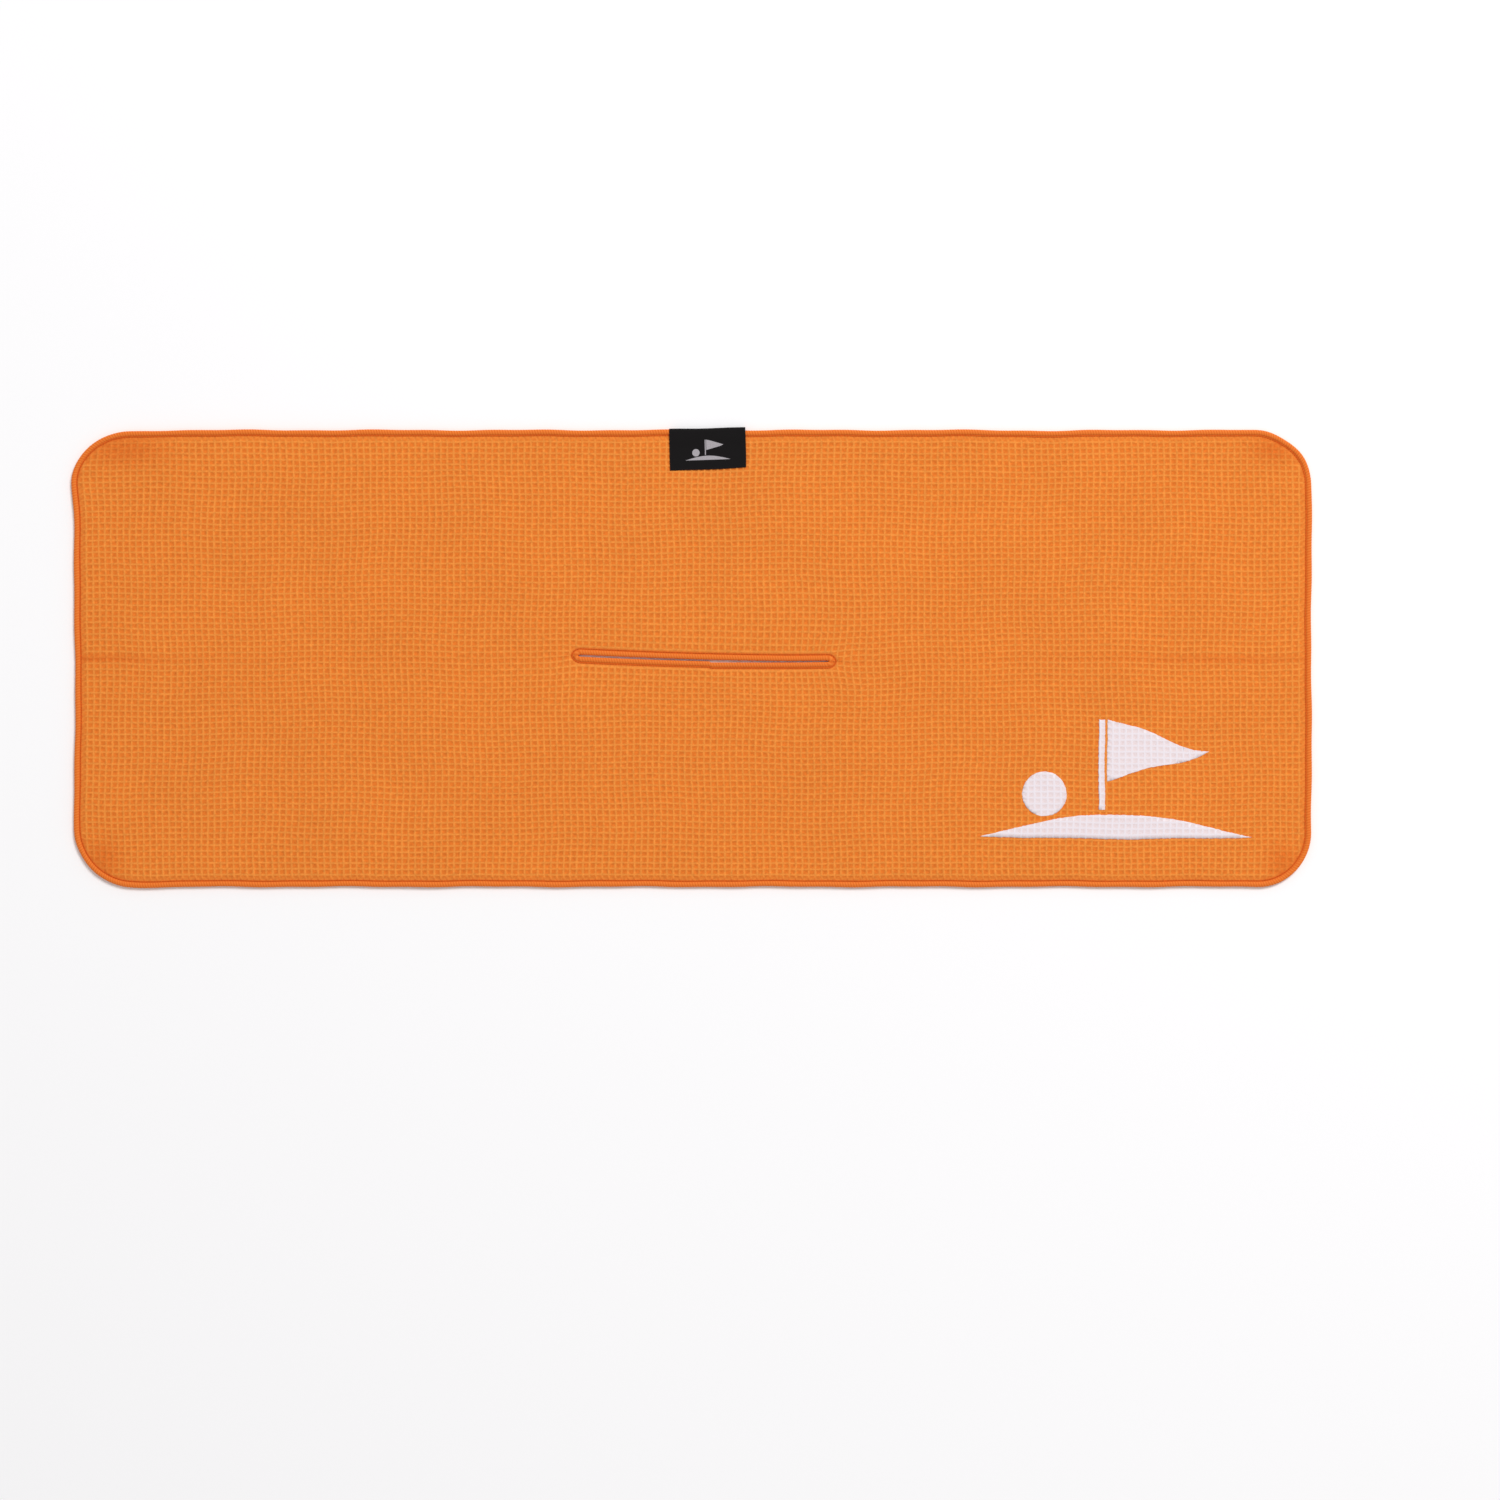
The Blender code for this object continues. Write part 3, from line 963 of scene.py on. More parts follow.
def closed_curve(name: str, points: np.ndarray) -> bpy.types.Object:
    """A closed line through points, as a curve object that a recipe can start from."""
    curve = bpy.data.curves.new(name, "CURVE")
    curve.dimensions = "3D"
    curve.twist_mode = "Z_UP"
    spline = curve.splines.new("POLY")
    spline.points.add(len(points) - 1)
    rows = np.zeros((len(points), 4), np.float32)
    rows[:, : points.shape[1]] = points
    rows[:, 3] = 1
    spline.points.foreach_set("co", rows.ravel())
    spline.use_cyclic_u = True
    return stand(name, curve)


def piece(
    name: str, mesh: bpy.types.Mesh, slot: str, nodes: Iterable[str]
) -> bpy.types.Object:
    """Makes a finished mesh a piece of the towel.

    Args:
        name: The piece's name.
        mesh: Its mesh, in its final place.
        slot: The material slot that its finish belongs to; not used.
        nodes: The frame's nodes that it stands for.

    Returns:
        The new object.
    """
    mesh.name = name
    made = stand(name, mesh)
    if nodes:
        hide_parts(*nodes)
    LOG.info("%s: %d faces", name, len(mesh.polygons))
    return made


def across_crease(made: bpy.types.Object) -> bpy.types.Object:
    """Bakes the piece's transform into its mesh."""
    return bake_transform(made)


def cut_along(shape: bmesh.types.BMesh, outline: np.ndarray, reach: float) -> None:
    """Cuts the faces near a closed outline along it, so that none lies across it.

    Args:
        shape: The flat mesh to cut.
        outline: The outline's corner points.
        reach: How far from the outline the faces that are cut may lie.
    """
    sides = list(zip(outline, np.roll(outline, -1, axis=0)))
    faces = list(shape.faces)
    centres = np.array([f.calc_center_median()[:2] for f in faces])
    box = (outline.min(axis=0) - reach, outline.max(axis=0) + reach)
    likely = np.flatnonzero(((centres > box[0]) & (centres < box[1])).all(axis=1))
    away = np.full(len(likely), np.inf)
    for a, b in sides:
        away = np.minimum(away, segment_distance(centres[likely], a, b))
    near = [faces[i] for i in likely[away < reach]]
    for a, b in sides:
        if np.linalg.norm(b - a) < 1e-7:
            continue
        middles = np.array([f.calc_center_median()[:2] for f in near])
        chosen = [near[i] for i in np.flatnonzero(segment_distance(middles, a, b) < reach)]
        if not chosen:
            continue
        parts = set(chosen)
        for face in chosen:
            parts.update(face.edges)
            parts.update(face.verts)
        normal = Vector((b[1] - a[1], a[0] - b[0], 0)).normalized()
        result = bmesh.ops.bisect_plane(
            shape, geom=list(parts), dist=1e-6, plane_co=(a[0], a[1], 0), plane_no=normal
        )
        fresh = {g for g in result["geom"] if isinstance(g, bmesh.types.BMFace)}
        near = list({f for f in near if f.is_valid} | fresh)


def keep_faces(shape: bmesh.types.BMesh, outline: np.ndarray, within: bool) -> None:
    """Deletes the faces on the wrong side of a closed outline.

    Args:
        shape: The flat mesh, already cut along the outline.
        outline: The outline's corner points.
        within: Whether the faces inside stay, and not those outside.
    """
    faces = list(shape.faces)
    centres = np.array([f.calc_center_median()[:2] for f in faces])
    wrong = np.flatnonzero(inside(outline, centres) != within)
    bmesh.ops.delete(shape, geom=[faces[i] for i in wrong], context="FACES")


# ---------------------------------------------------------------------------------------------------
# The plies

# Whole numbers that scatter the corners of the lattice, along, across and up, without a pattern.
CELL_PRIMES = (73856093, 19349663)
WAY_STEPS = (2654435761, 40503, 97531)
WAYS_PRIME = 1009


@dataclass(frozen=True)
class Waffle:
    """The waffle of both plies: rows and columns of pits between ridges, flattened by the seams."""

    cut: Cut
    column: float = 5.28 * MM
    row: float = 4.8 * MM
    pit_share: float = 0.52
    pit_depth: float = 0.72 * MM
    press_reach: float = 2.4 * MM
    groove_reach: float = 1.5 * MM
    uneven: float = 0.26 * MM

    @property
    def span(self) -> tuple[np.ndarray, np.ndarray]:
        """The low and high corners of the cloth within the needle threads."""
        return self.cut.low + self.cut.needle, self.cut.high - self.cut.needle

    def counts(self) -> tuple[int, int, int]:
        """How many columns there are, and how many rows below and above the crease."""
        low, high = self.span
        return (
            round((high[0] - low[0]) / self.column),
            round(-low[1] / self.row),
            round(high[1] / self.row),
        )

    def to_flat(self, cells: np.ndarray) -> np.ndarray:
        """Takes places counted in cells to places on the flat cut."""
        low, high = self.span
        columns, below, above = self.counts()
        x = low[0] + cells[:, 0] * (high[0] - low[0]) / columns
        rows = cells[:, 1] - below
        y = rows * np.where(rows < 0, -low[1] / below, high[1] / above)
        return np.stack([x, y], axis=1)

    def to_cells(self, flat: np.ndarray) -> np.ndarray:
        """Takes places on the flat cut to places counted in cells."""
        low, high = self.span
        columns, below, above = self.counts()
        x = (flat[:, 0] - low[0]) * columns / (high[0] - low[0])
        y = below + flat[:, 1] * np.where(flat[:, 1] < 0, below / -low[1], above / high[1])
        return np.stack([x, y], axis=1)

    def pit(self, flat: np.ndarray) -> np.ndarray:
        """How deep in its pit each place lies: 0 on a ridge, 1 on the floor of a pit."""
        part = self.to_cells(flat) % 1
        to_ridge = np.minimum(part, 1 - part).min(axis=1)
        return np.clip(to_ridge / ((1 - self.pit_share) / 2), 0, 1)

    def body(self, flat: np.ndarray) -> np.ndarray:
        """How full the cloth is at each place: 0 where a seam presses it, 1 in the field."""
        return smooth((self.cut.from_seams(flat) - self.cut.needle) / self.press_reach)

    def groove(self, flat: np.ndarray) -> np.ndarray:
        """How close beside a seam each place lies: 1 in the groove along it, 0 in the field."""
        return 1 - smooth((self.cut.from_seams(flat) - self.cut.needle) / self.groove_reach)

    def unevenness(self, flat: np.ndarray) -> np.ndarray:
        """How far each crossing and each pit corner stands out of its true place.

        Yarns are never quite even. Each corner of the lattice gets its own offset from its number,
        so that the film that lies on a ply follows it.
        """
        numbers = np.round(self.to_cells(flat) * 4).astype(np.int64)
        mixed = (numbers[:, 0] * CELL_PRIMES[0]) ^ (numbers[:, 1] * CELL_PRIMES[1])
        half = WAYS_PRIME // 2
        parts = [((mixed * step) >> 7) % WAYS_PRIME / half - 1 for step in WAY_STEPS]
        limits = np.array([self.uneven, self.uneven, self.uneven / 4])
        return np.stack(parts, axis=1) * limits * self.body(flat)[:, None]

    def lattice(self, material: bpy.types.Material) -> bpy.types.Mesh:
        """Makes the flat lattice of ridges and pit floors over the whole cut.

        Args:
            material: The ply's material.

        Returns:
            A mesh of one floor and four walls to each cell, all still level.
        """
        recipe = Recipe("waffle_lattice")
        columns, rows = recipe.ask("Columns", "Int"), recipe.ask("Rows", "Int")
        share = recipe.ask("Pit Share")
        grid = recipe.add(
            "GeometryNodeMeshGrid",
            {
                "Size X": columns,
                "Size Y": rows,
                "Vertices X": recipe.add("ShaderNodeMath", {0: columns, 1: 1.0}),
                "Vertices Y": recipe.add("ShaderNodeMath", {0: rows, 1: 1.0}),
            },
        )
        floors = recipe.add(
            "GeometryNodeExtrudeMesh",
            {"Mesh": grid, "Offset Scale": 0.0, "Individual": True},
            mode="FACES",
        )
        drawn = recipe.add(
            "GeometryNodeScaleElements",
            {"Geometry": floors, "Selection": floors.outputs["Top"], "Scale": share},
        )
        recipe.end(drawn)
        across, below, above = self.counts()
        values = {
            "Columns": across,
            "Rows": below + above,
            "Pit Share": self.pit_share,
            "Material": material,
        }
        mesh = recipe.run(stand("lattice_start", bpy.data.meshes.new("lattice_start")), values)
        places = coordinates(mesh)
        middle = np.array([across / 2, (below + above) / 2])
        places[:, :2] = self.to_flat(places[:, :2] + middle)
        move_to(mesh, places)
        return mesh


@dataclass(frozen=True)
class Ply:
    """One ply of waffle cloth, cut out round its rim and its slit, and pressed thin along both."""

    waffle: Waffle
    face: Face
    ridge: float
    pressed: float
    pit_share: float = 1.0
    tucked: float = 2.2 * MM

    def level(self, flat: np.ndarray) -> np.ndarray:
        """The height of the ply's ridges at each place, pressed down along the seams."""
        return self.pressed + (self.ridge - self.pressed) * self.waffle.body(flat)

    def surface(self, flat: np.ndarray, share: float = 1.0) -> np.ndarray:
        """The height of the ply's face at each place.

        Args:
            flat: Places on the flat cut.
            share: How much of each pit's depth it follows.

        Returns:
            One height for each place.
        """
        depth = self.waffle.pit_depth * self.waffle.body(flat) * self.waffle.pit(flat)
        return self.level(flat) - self.face.value * share * self.pit_share * depth

    def skirt(self, shape: bmesh.types.BMesh) -> None:
        """Draws the trimmed edges on, under the seams."""
        cut = self.waffle.cut
        for on_rim in (True, False):
            edges = []
            for edge in shape.edges:
                if not edge.is_boundary:
                    continue
                middle = np.array([(edge.verts[0].co + edge.verts[1].co)[:2]]) / 2
                at_rim = cut.from_rim(middle)[0][0] < cut.from_slit(middle)[0][0]
                if at_rim == on_rim:
                    edges.append(edge)
            made = bmesh.ops.extrude_edge_only(shape, edges=edges)["geom"]
            fresh = [g for g in made if isinstance(g, bmesh.types.BMVert)]
            flat = np.array([v.co[:2] for v in fresh])
            if on_rim:
                depth, out = cut.from_rim(flat)
                flat = flat + out * (depth - self.tucked)[:, None]
            else:
                outset, away = cut.from_slit(flat)
                flat = flat - away * (outset - self.tucked)[:, None]
            for vert, place in zip(fresh, flat):
                vert.co[:2] = place

    def mesh(self, material: bpy.types.Material) -> bpy.types.Mesh:
        """Makes the ply flat, at its true heights, with its attributes and its map."""
        cut = self.waffle.cut
        mesh = self.waffle.lattice(material)
        shape = bmesh.new()
        shape.from_mesh(mesh)
        reach = 2 * self.waffle.column
        rim, mouth = cut.rim(cut.needle), cut.mouth(cut.needle)
        for corner in np.split(rim, 4):
            cut_along(shape, corner, reach)
        keep_faces(shape, rim, within=True)
        cut_along(shape, mouth, reach)
        keep_faces(shape, mouth, within=False)
        self.skirt(shape)
        bmesh.ops.recalc_face_normals(shape, faces=shape.faces)
        shape.normal_update()
        up = sum(f.normal.z * f.calc_area() for f in shape.faces)
        if up * self.face.value < 0:
            bmesh.ops.reverse_faces(shape, faces=shape.faces)
        shape.to_mesh(mesh)
        shape.free()
        places = coordinates(mesh)
        flat = places[:, :2].copy()
        places[:, 2] = self.surface(flat)
        move_to(mesh, places)
        # Masks for painted shade: in the pit floors, and in the groove beside the seams.
        note(mesh, "pit", self.waffle.pit(flat) * self.waffle.body(flat))
        note(mesh, "pressed", self.waffle.groove(flat))
        map_cloth(mesh, flat)
        return mesh


@dataclass(frozen=True)
class Checks:
    """The cloth wasn't quite square on the printing table, so that the columns are narrower towards
    the tab and the foot, and the rows closer towards the tab.
    """

    cut: Cut
    from_right: float = 25.1 * MM
    from_top: float = 50.4 * MM
    narrow: float = 51.1 * MM
    narrow_reach: float = 357 * MM
    wide: float = 53.8 * MM
    row: float = 56.3 * MM
    row_close: float = 3.2 * MM
    last_row: float = 5.95
    fan_middle: float = -112 * MM
    fan_foot: float = -115 * MM
    fan: float = 0.038

    def cells(self, flat: np.ndarray) -> np.ndarray:
        """Takes places on the flat cut to places counted in checks, white where the sum is odd."""
        spread = 1 + self.fan * (flat[:, 1] - self.fan_foot)
        x = (flat[:, 0] - self.fan_middle) / spread + self.fan_middle
        away = self.cut.high[0] - self.from_right - x
        column = np.minimum(away, self.narrow_reach) / self.narrow
        column += np.maximum(away - self.narrow_reach, 0) / self.wide
        share = np.clip((flat[:, 0] - self.cut.low[0]) / (self.cut.high[0] - self.cut.low[0]), 0, 1)
        height = self.row - self.row_close * share**1.5
        row = (self.cut.high[1] - self.from_top - flat[:, 1]) / height
        return np.stack([column + 1, np.minimum(row, self.last_row)], axis=1)


@dataclass
class Plies:
    """The plain front ply and the checked reverse ply."""

    lay: Lay
    waffle: Waffle
    front: Ply = field(init=False)
    reverse: Ply = field(init=False)
    leaf_pockets: tuple[str, ...] = ("care_tab", "woven_label")
    pocket_depth: float = 0.55 * MM
    pocket_edge: float = 2.5 * MM
    thread_clear: float = 0.15 * MM
    reverse_levels: tuple[float, float] = (0.04 * MM, 1.0 * MM)
    reverse_pits: float = 0.6
    # How much painted shade the front gets along the crease and in the puckered corners.
    crease_shade: float = 0.7
    pucker_shade: float = 0.55

    def __post_init__(self) -> None:
        """Sets the heights of both plies from the frame."""
        front_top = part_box("front_ply_upper")[1].z
        thread_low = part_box("edge_needle_thread_upper")[0].z
        front_pressed = thread_low - self.thread_clear
        self.front = Ply(self.waffle, Face.PLAIN, front_top, front_pressed)
        low, pressed = self.reverse_levels
        self.reverse = Ply(self.waffle, Face.REVERSE, low, pressed, self.reverse_pits)

    def pockets(self, flat: np.ndarray) -> np.ndarray:
        """How far the reverse ply is pressed in by the label's back leaf and the care tab."""
        found = np.zeros(len(flat))
        for node in self.leaf_pockets:
            low, high = (np.array(corner[:2]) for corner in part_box(node))
            gap = np.maximum(low - flat, flat - high).max(axis=1)
            found = np.maximum(found, self.pocket_depth * smooth(1 - gap / self.pocket_edge))
        return found

    def build(self) -> list[bpy.types.Object]:
        """Builds both plies and returns them."""
        made = []
        for name, ply, finish, slot in (
            ("front_waffle", self.front, FRONT_CLOTH, "microfibre_orange"),
            ("reverse_waffle", self.reverse, REVERSE_CLOTH, "microfibre_checker"),
        ):
            mesh = ply.mesh(finish.material())
            places = coordinates(mesh)
            flat = places[:, :2].copy()
            if ply.face is Face.REVERSE:
                places[:, 2] += self.pockets(flat)
                map_cloth(mesh, Checks(self.waffle.cut).cells(flat), "checks")
            else:
                # Painted shade on the front: in the groove by the seams, along the crease and in the
                # puckered corners.
                pressed = self.waffle.groove(flat) + self.crease_shade * self.lay.pinch(flat)
                for pucker in self.lay.puckers:
                    pressed += self.pucker_shade * pucker.weight(flat)
                note(mesh, "pressed", np.minimum(pressed, 1))
            move_to(mesh, self.lay.place(places) + self.waffle.unevenness(flat))
            node = "front_ply" if ply.face is Face.PLAIN else "back_ply"
            nodes = [f"{node}_{half}" for half in ("upper", "lower")]
            made.append(across_crease(piece(name, mesh, slot, nodes)))
        return made


# ---------------------------------------------------------------------------------------------------
# The seams


@dataclass
class Seams:
    """The overlock round the rim and the slit: looper threads, needle threads and their ticks."""

    lay: Lay
    cut: Cut
    loop: float = 2.2 * MM
    steps_per_loop: int = 4
    sides: int = 14
    rib: float = 0.10 * MM
    top: float = 4.55 * MM
    low: float = 0.02 * MM
    stitch: float = 2.2 * MM
    stitch_size: tuple[float, float, float] = (1.9 * MM, 0.55 * MM, 0.45 * MM)
    tick_size: tuple[float, float, float] = (2.3 * MM, 0.42 * MM, 0.36 * MM)
    tick_height: float = 0.30 * MM
    tick_yaw: float = 1.15
    tick_inset: float = 0.2 * MM
    loop_slant: float = 2.0
    stitch_sway: float = 0.07
    roundness: tuple[float, float] = (2.3, 3.6)
    # How much painted shade falls in the valleys between loops, the extra in those underneath, and on
    # the underside.
    valley_shades: tuple[float, float, float] = (0.35, 0.75, 0.30)
    curve_step: float = 3 * MM

    def section(self) -> np.ndarray:
        """The rolled section of the looper threads: rounder on the plain face, flatter beneath."""
        half_width = self.cut.seam / 2
        middle = (self.top + self.low) / 2
        half_height = (self.top - self.low) / 2
        found = []
        for i in range(self.sides):
            angle = 2 * math.pi * (i + 0.5) / self.sides
            bend = 2 / self.roundness[0 if math.sin(angle) > 0 else 1]
            x = math.copysign(abs(math.cos(angle)) ** bend, math.cos(angle))
            z = math.copysign(abs(math.sin(angle)) ** bend, math.sin(angle))
            found.append((half_width * x - half_width, middle + half_height * z))
        return np.array(found)

    def band_recipe(self) -> Recipe:
        """The recipe that sweeps the section round a line and rounds each loop of thread."""
        recipe = Recipe("overlock_band")
        section = recipe.ask("Section", "Object")
        loops = recipe.ask("Loops", "Int")
        steps = recipe.ask("Steps Per Loop", "Int")
        rib = recipe.ask("Rib Height")
        slant = recipe.ask("Slant")
        count = recipe.add("ShaderNodeMath", {0: loops, 1: steps}, operation="MULTIPLY")
        path = recipe.add(
            "GeometryNodeResampleCurve",
            {"Curve": recipe.source.outputs["Geometry"], "Count": count},
            mode="COUNT",
        )
        factor = recipe.add("GeometryNodeSplineParameter").outputs["Factor"]
        marked = recipe.add(
            "GeometryNodeStoreNamedAttribute",
            {
                "Geometry": path,
                "Name": "turn",
                "Value": recipe.add("ShaderNodeMath", {0: factor, 1: loops}, operation="MULTIPLY"),
            },
            data_type="FLOAT",
            domain="POINT",
        )
        level = recipe.add("GeometryNodeSetCurveNormal", {"Curve": marked}, mode="Z_UP")
        profile = recipe.add("GeometryNodeObjectInfo", {"Object": section})
        share = recipe.add("GeometryNodeSplineParameter").outputs["Factor"]
        ring = recipe.add(
            "GeometryNodeStoreNamedAttribute",
            {"Geometry": profile.outputs["Geometry"], "Name": "around", "Value": share},
            data_type="FLOAT",
            domain="POINT",
        )
        swept = recipe.add("GeometryNodeCurveToMesh", {"Curve": level, "Profile Curve": ring})
        turn = recipe.add("GeometryNodeInputNamedAttribute", {"Name": "turn"}, data_type="FLOAT")
        around = recipe.add("GeometryNodeInputNamedAttribute", {"Name": "around"}, data_type="FLOAT")
        # Each loop is half a turn of a cosine, and leans over from one side of the band to the other.
        phase = recipe.add("ShaderNodeMath", {0: around, 1: slant, 2: turn}, operation="MULTIPLY_ADD")
        angle = recipe.add("ShaderNodeMath", {0: phase, 1: math.pi}, operation="MULTIPLY")
        wave = recipe.add("ShaderNodeMath", {0: angle}, operation="COSINE")
        height = recipe.add("ShaderNodeMath", {0: wave}, operation="ABSOLUTE")
        normal = recipe.add("GeometryNodeInputNormal")
        raised = recipe.add("ShaderNodeMath", {0: height, 1: rib}, operation="MULTIPLY")
        push = recipe.add("ShaderNodeVectorMath", {0: normal, "Scale": raised}, operation="SCALE")
        ribbed = recipe.add("GeometryNodeSetPosition", {"Geometry": swept, "Offset": push})
        # Painted shade: the valleys between the loops are darkened, more so where the band turns down
        # and under, and the underside is darkened all over.
        facing = recipe.add("ShaderNodeSeparateXYZ", {0: normal}).outputs["Z"]
        turned = recipe.add("ShaderNodeMath", {0: facing, 1: -1.0}, operation="MULTIPLY")
        below = recipe.add("ShaderNodeMath", {0: turned, 1: 0.0}, operation="MAXIMUM")
        gap = recipe.add("ShaderNodeMath", {0: 1.0, 1: height}, operation="SUBTRACT")
        gap_shade, under_gap_shade, underside_shade = self.valley_shades
        depth = recipe.add(
            "ShaderNodeMath", {0: below, 1: under_gap_shade, 2: gap_shade}, operation="MULTIPLY_ADD"
        )
        between = recipe.add("ShaderNodeMath", {0: gap, 1: depth}, operation="MULTIPLY")
        valley = recipe.add(
            "ShaderNodeMath", {0: below, 1: underside_shade, 2: between}, operation="MULTIPLY_ADD"
        )
        noted = recipe.add(
            "GeometryNodeStoreNamedAttribute",
            {"Geometry": ribbed, "Name": "valley", "Value": valley},
            data_type="FLOAT",
            domain="POINT",
        )
        recipe.end(noted)
        return recipe

    def stitch_recipe(self) -> Recipe:
        """The recipe that sets one stitch after another along a line."""
        recipe = Recipe("stitch_row")
        count = recipe.ask("Count", "Int")
        length, width, height = recipe.ask("Length"), recipe.ask("Width"), recipe.ask("Height")
        yaw = recipe.ask("Yaw")
        path = recipe.add(
            "GeometryNodeResampleCurve",
            {"Curve": recipe.source.outputs["Geometry"], "Count": count},
            mode="COUNT",
        )
        bead = recipe.add("GeometryNodeMeshUVSphere", {"Segments": 6, "Rings": 5, "Radius": 0.5})
        lying = recipe.add(
            "GeometryNodeTransform", {"Geometry": bead, "Rotation": (0, math.pi / 2, 0)}
        )
        tangent = recipe.add("GeometryNodeInputTangent")
        facing = recipe.add(
            "FunctionNodeAlignRotationToVector", {"Vector": tangent}, axis="X", pivot_axis="Z"
        )
        sway = recipe.add(
            "FunctionNodeRandomValue",
            {2: -self.stitch_sway, 3: self.stitch_sway, "Seed": 7},
            data_type="FLOAT",
        )
        angle = recipe.add("ShaderNodeMath", {0: yaw, 1: sway.outputs[1]})
        turn = recipe.add("ShaderNodeCombineXYZ", {"Z": angle})
        turned = recipe.add(
            "FunctionNodeRotateRotation",
            {"Rotation": facing, "Rotate By": turn},
            rotation_space="LOCAL",
        )
        size = recipe.add("ShaderNodeCombineXYZ", {"X": length, "Y": width, "Z": height})
        placed = recipe.add(
            "GeometryNodeInstanceOnPoints",
            {"Points": path, "Instance": lying, "Rotation": turned, "Scale": size},
        )
        recipe.end(placed)
        return recipe

    def band(self, line: np.ndarray, outward: bool, material: bpy.types.Material) -> bpy.types.Mesh:
        """Sweeps one band of looper thread along a line on the flat cut.

        Args:
            line: The rim or the mouth, anticlockwise.
            outward: Whether the cloth lies outside the line, as round the slit.
            material: The thread's material.

        Returns:
            The band, still on the flat cut.
        """
        section = self.section()
        side = -1 if outward else 1
        # A level curve's own frame has X to its right and Y downwards.
        profile = np.stack([side * section[:, 0], -section[:, 1]], axis=1)
        if outward:
            profile = profile[::-1]
        guide = closed_curve("section", profile)
        length = np.linalg.norm(line - np.roll(line, -1, axis=0), axis=1).sum()
        mesh = self.band_recipe().run(
            closed_curve("path", thread_through(line, self.curve_step)),
            {
                "Section": guide,
                "Loops": round(length / self.loop),
                "Steps Per Loop": self.steps_per_loop,
                "Rib Height": self.rib,
                "Slant": self.loop_slant,
                "Material": material,
            },
        )
        bpy.data.objects.remove(guide, do_unlink=True)
        face_out(mesh)
        return mesh

    def along(
        self,
        guide: bpy.types.Object,
        length: float,
        size: tuple[float, float, float],
        yaw: float,
        material: bpy.types.Material,
    ) -> bpy.types.Mesh:
        """Sets stitches along a guide at the towel's stitch length.

        Args:
            guide: The line that they follow, which is used up.
            length: How long it is.
            size: The length, width and height of one.
            yaw: How far each turns from the line, in radians.
            material: The thread's material.

        Returns:
            The stitches.
        """
        values = dict(zip(("Length", "Width", "Height"), size))
        values |= {"Count": round(length / self.stitch), "Yaw": yaw, "Material": material}
        return self.stitch_recipe().run(guide, values)

    def row(
        self,
        line: np.ndarray,
        height: float,
        size: tuple[float, float, float],
        yaw: float,
        material: bpy.types.Material,
    ) -> bpy.types.Mesh:
        """Sets a row of stitches along a closed line on the flat cut.

        Args:
            line: The line, anticlockwise.
            height: How high the stitches lie.
            size: The length, width and height of one.
            yaw: How far each turns from the line, in radians.
            material: The thread's material.

        Returns:
            The row, still on the flat cut.
        """
        points = thread_through(line, self.curve_step)
        points = np.concatenate([points, np.full((len(points), 1), height)], axis=1)
        length = np.linalg.norm(line - np.roll(line, -1, axis=0), axis=1).sum()
        return self.along(closed_curve("row", points), length, size, yaw, material)

    def build(self) -> list[bpy.types.Object]:
        """Builds the bands, the needle stitches and the ticks, and returns them."""
        looper, needle = LOOPER_THREAD.material(), NEEDLE_THREAD.material()
        thread_low, thread_high = (c.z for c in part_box("edge_needle_thread_upper"))
        thread = (thread_low + thread_high) / 2
        tick_in = self.cut.needle - self.tick_inset
        jobs = (
            ("edge_looper_threads", self.band(self.cut.rim(0), False, looper), "edge_overlock"),
            ("slit_looper_threads", self.band(self.cut.mouth(0), True, looper), "slit_overlock"),
            (
                "edge_needle_stitches",
                self.row(self.cut.rim(self.cut.needle), thread, self.stitch_size, 0.0, needle),
                "edge_needle_thread",
            ),
            (
                "slit_needle_stitches",
                self.row(self.cut.mouth(self.cut.needle), thread, self.stitch_size, 0.0, needle),
                "slit_needle_thread",
            ),
            (
                "edge_looper_ticks",
                self.row(
                    self.cut.rim(tick_in), self.tick_height, self.tick_size, self.tick_yaw, looper
                ),
                "",
            ),
            (
                "slit_looper_ticks",
                self.row(
                    self.cut.mouth(tick_in), self.tick_height, self.tick_size, self.tick_yaw, looper
                ),
                "",
            ),
        )
        made = []
        for name, mesh, node in jobs:
            move_to(mesh, self.lay.place(coordinates(mesh)))
            nodes = [f"{node}_{half}" for half in ("upper", "lower")] if node else []
            slot = "needle_thread" if "needle" in name else "overlock_thread"
            made.append(across_crease(piece(name, mesh, slot, nodes)))
        return made


# ---------------------------------------------------------------------------------------------------
# The emblem: a flag on its pin, a ball and the green


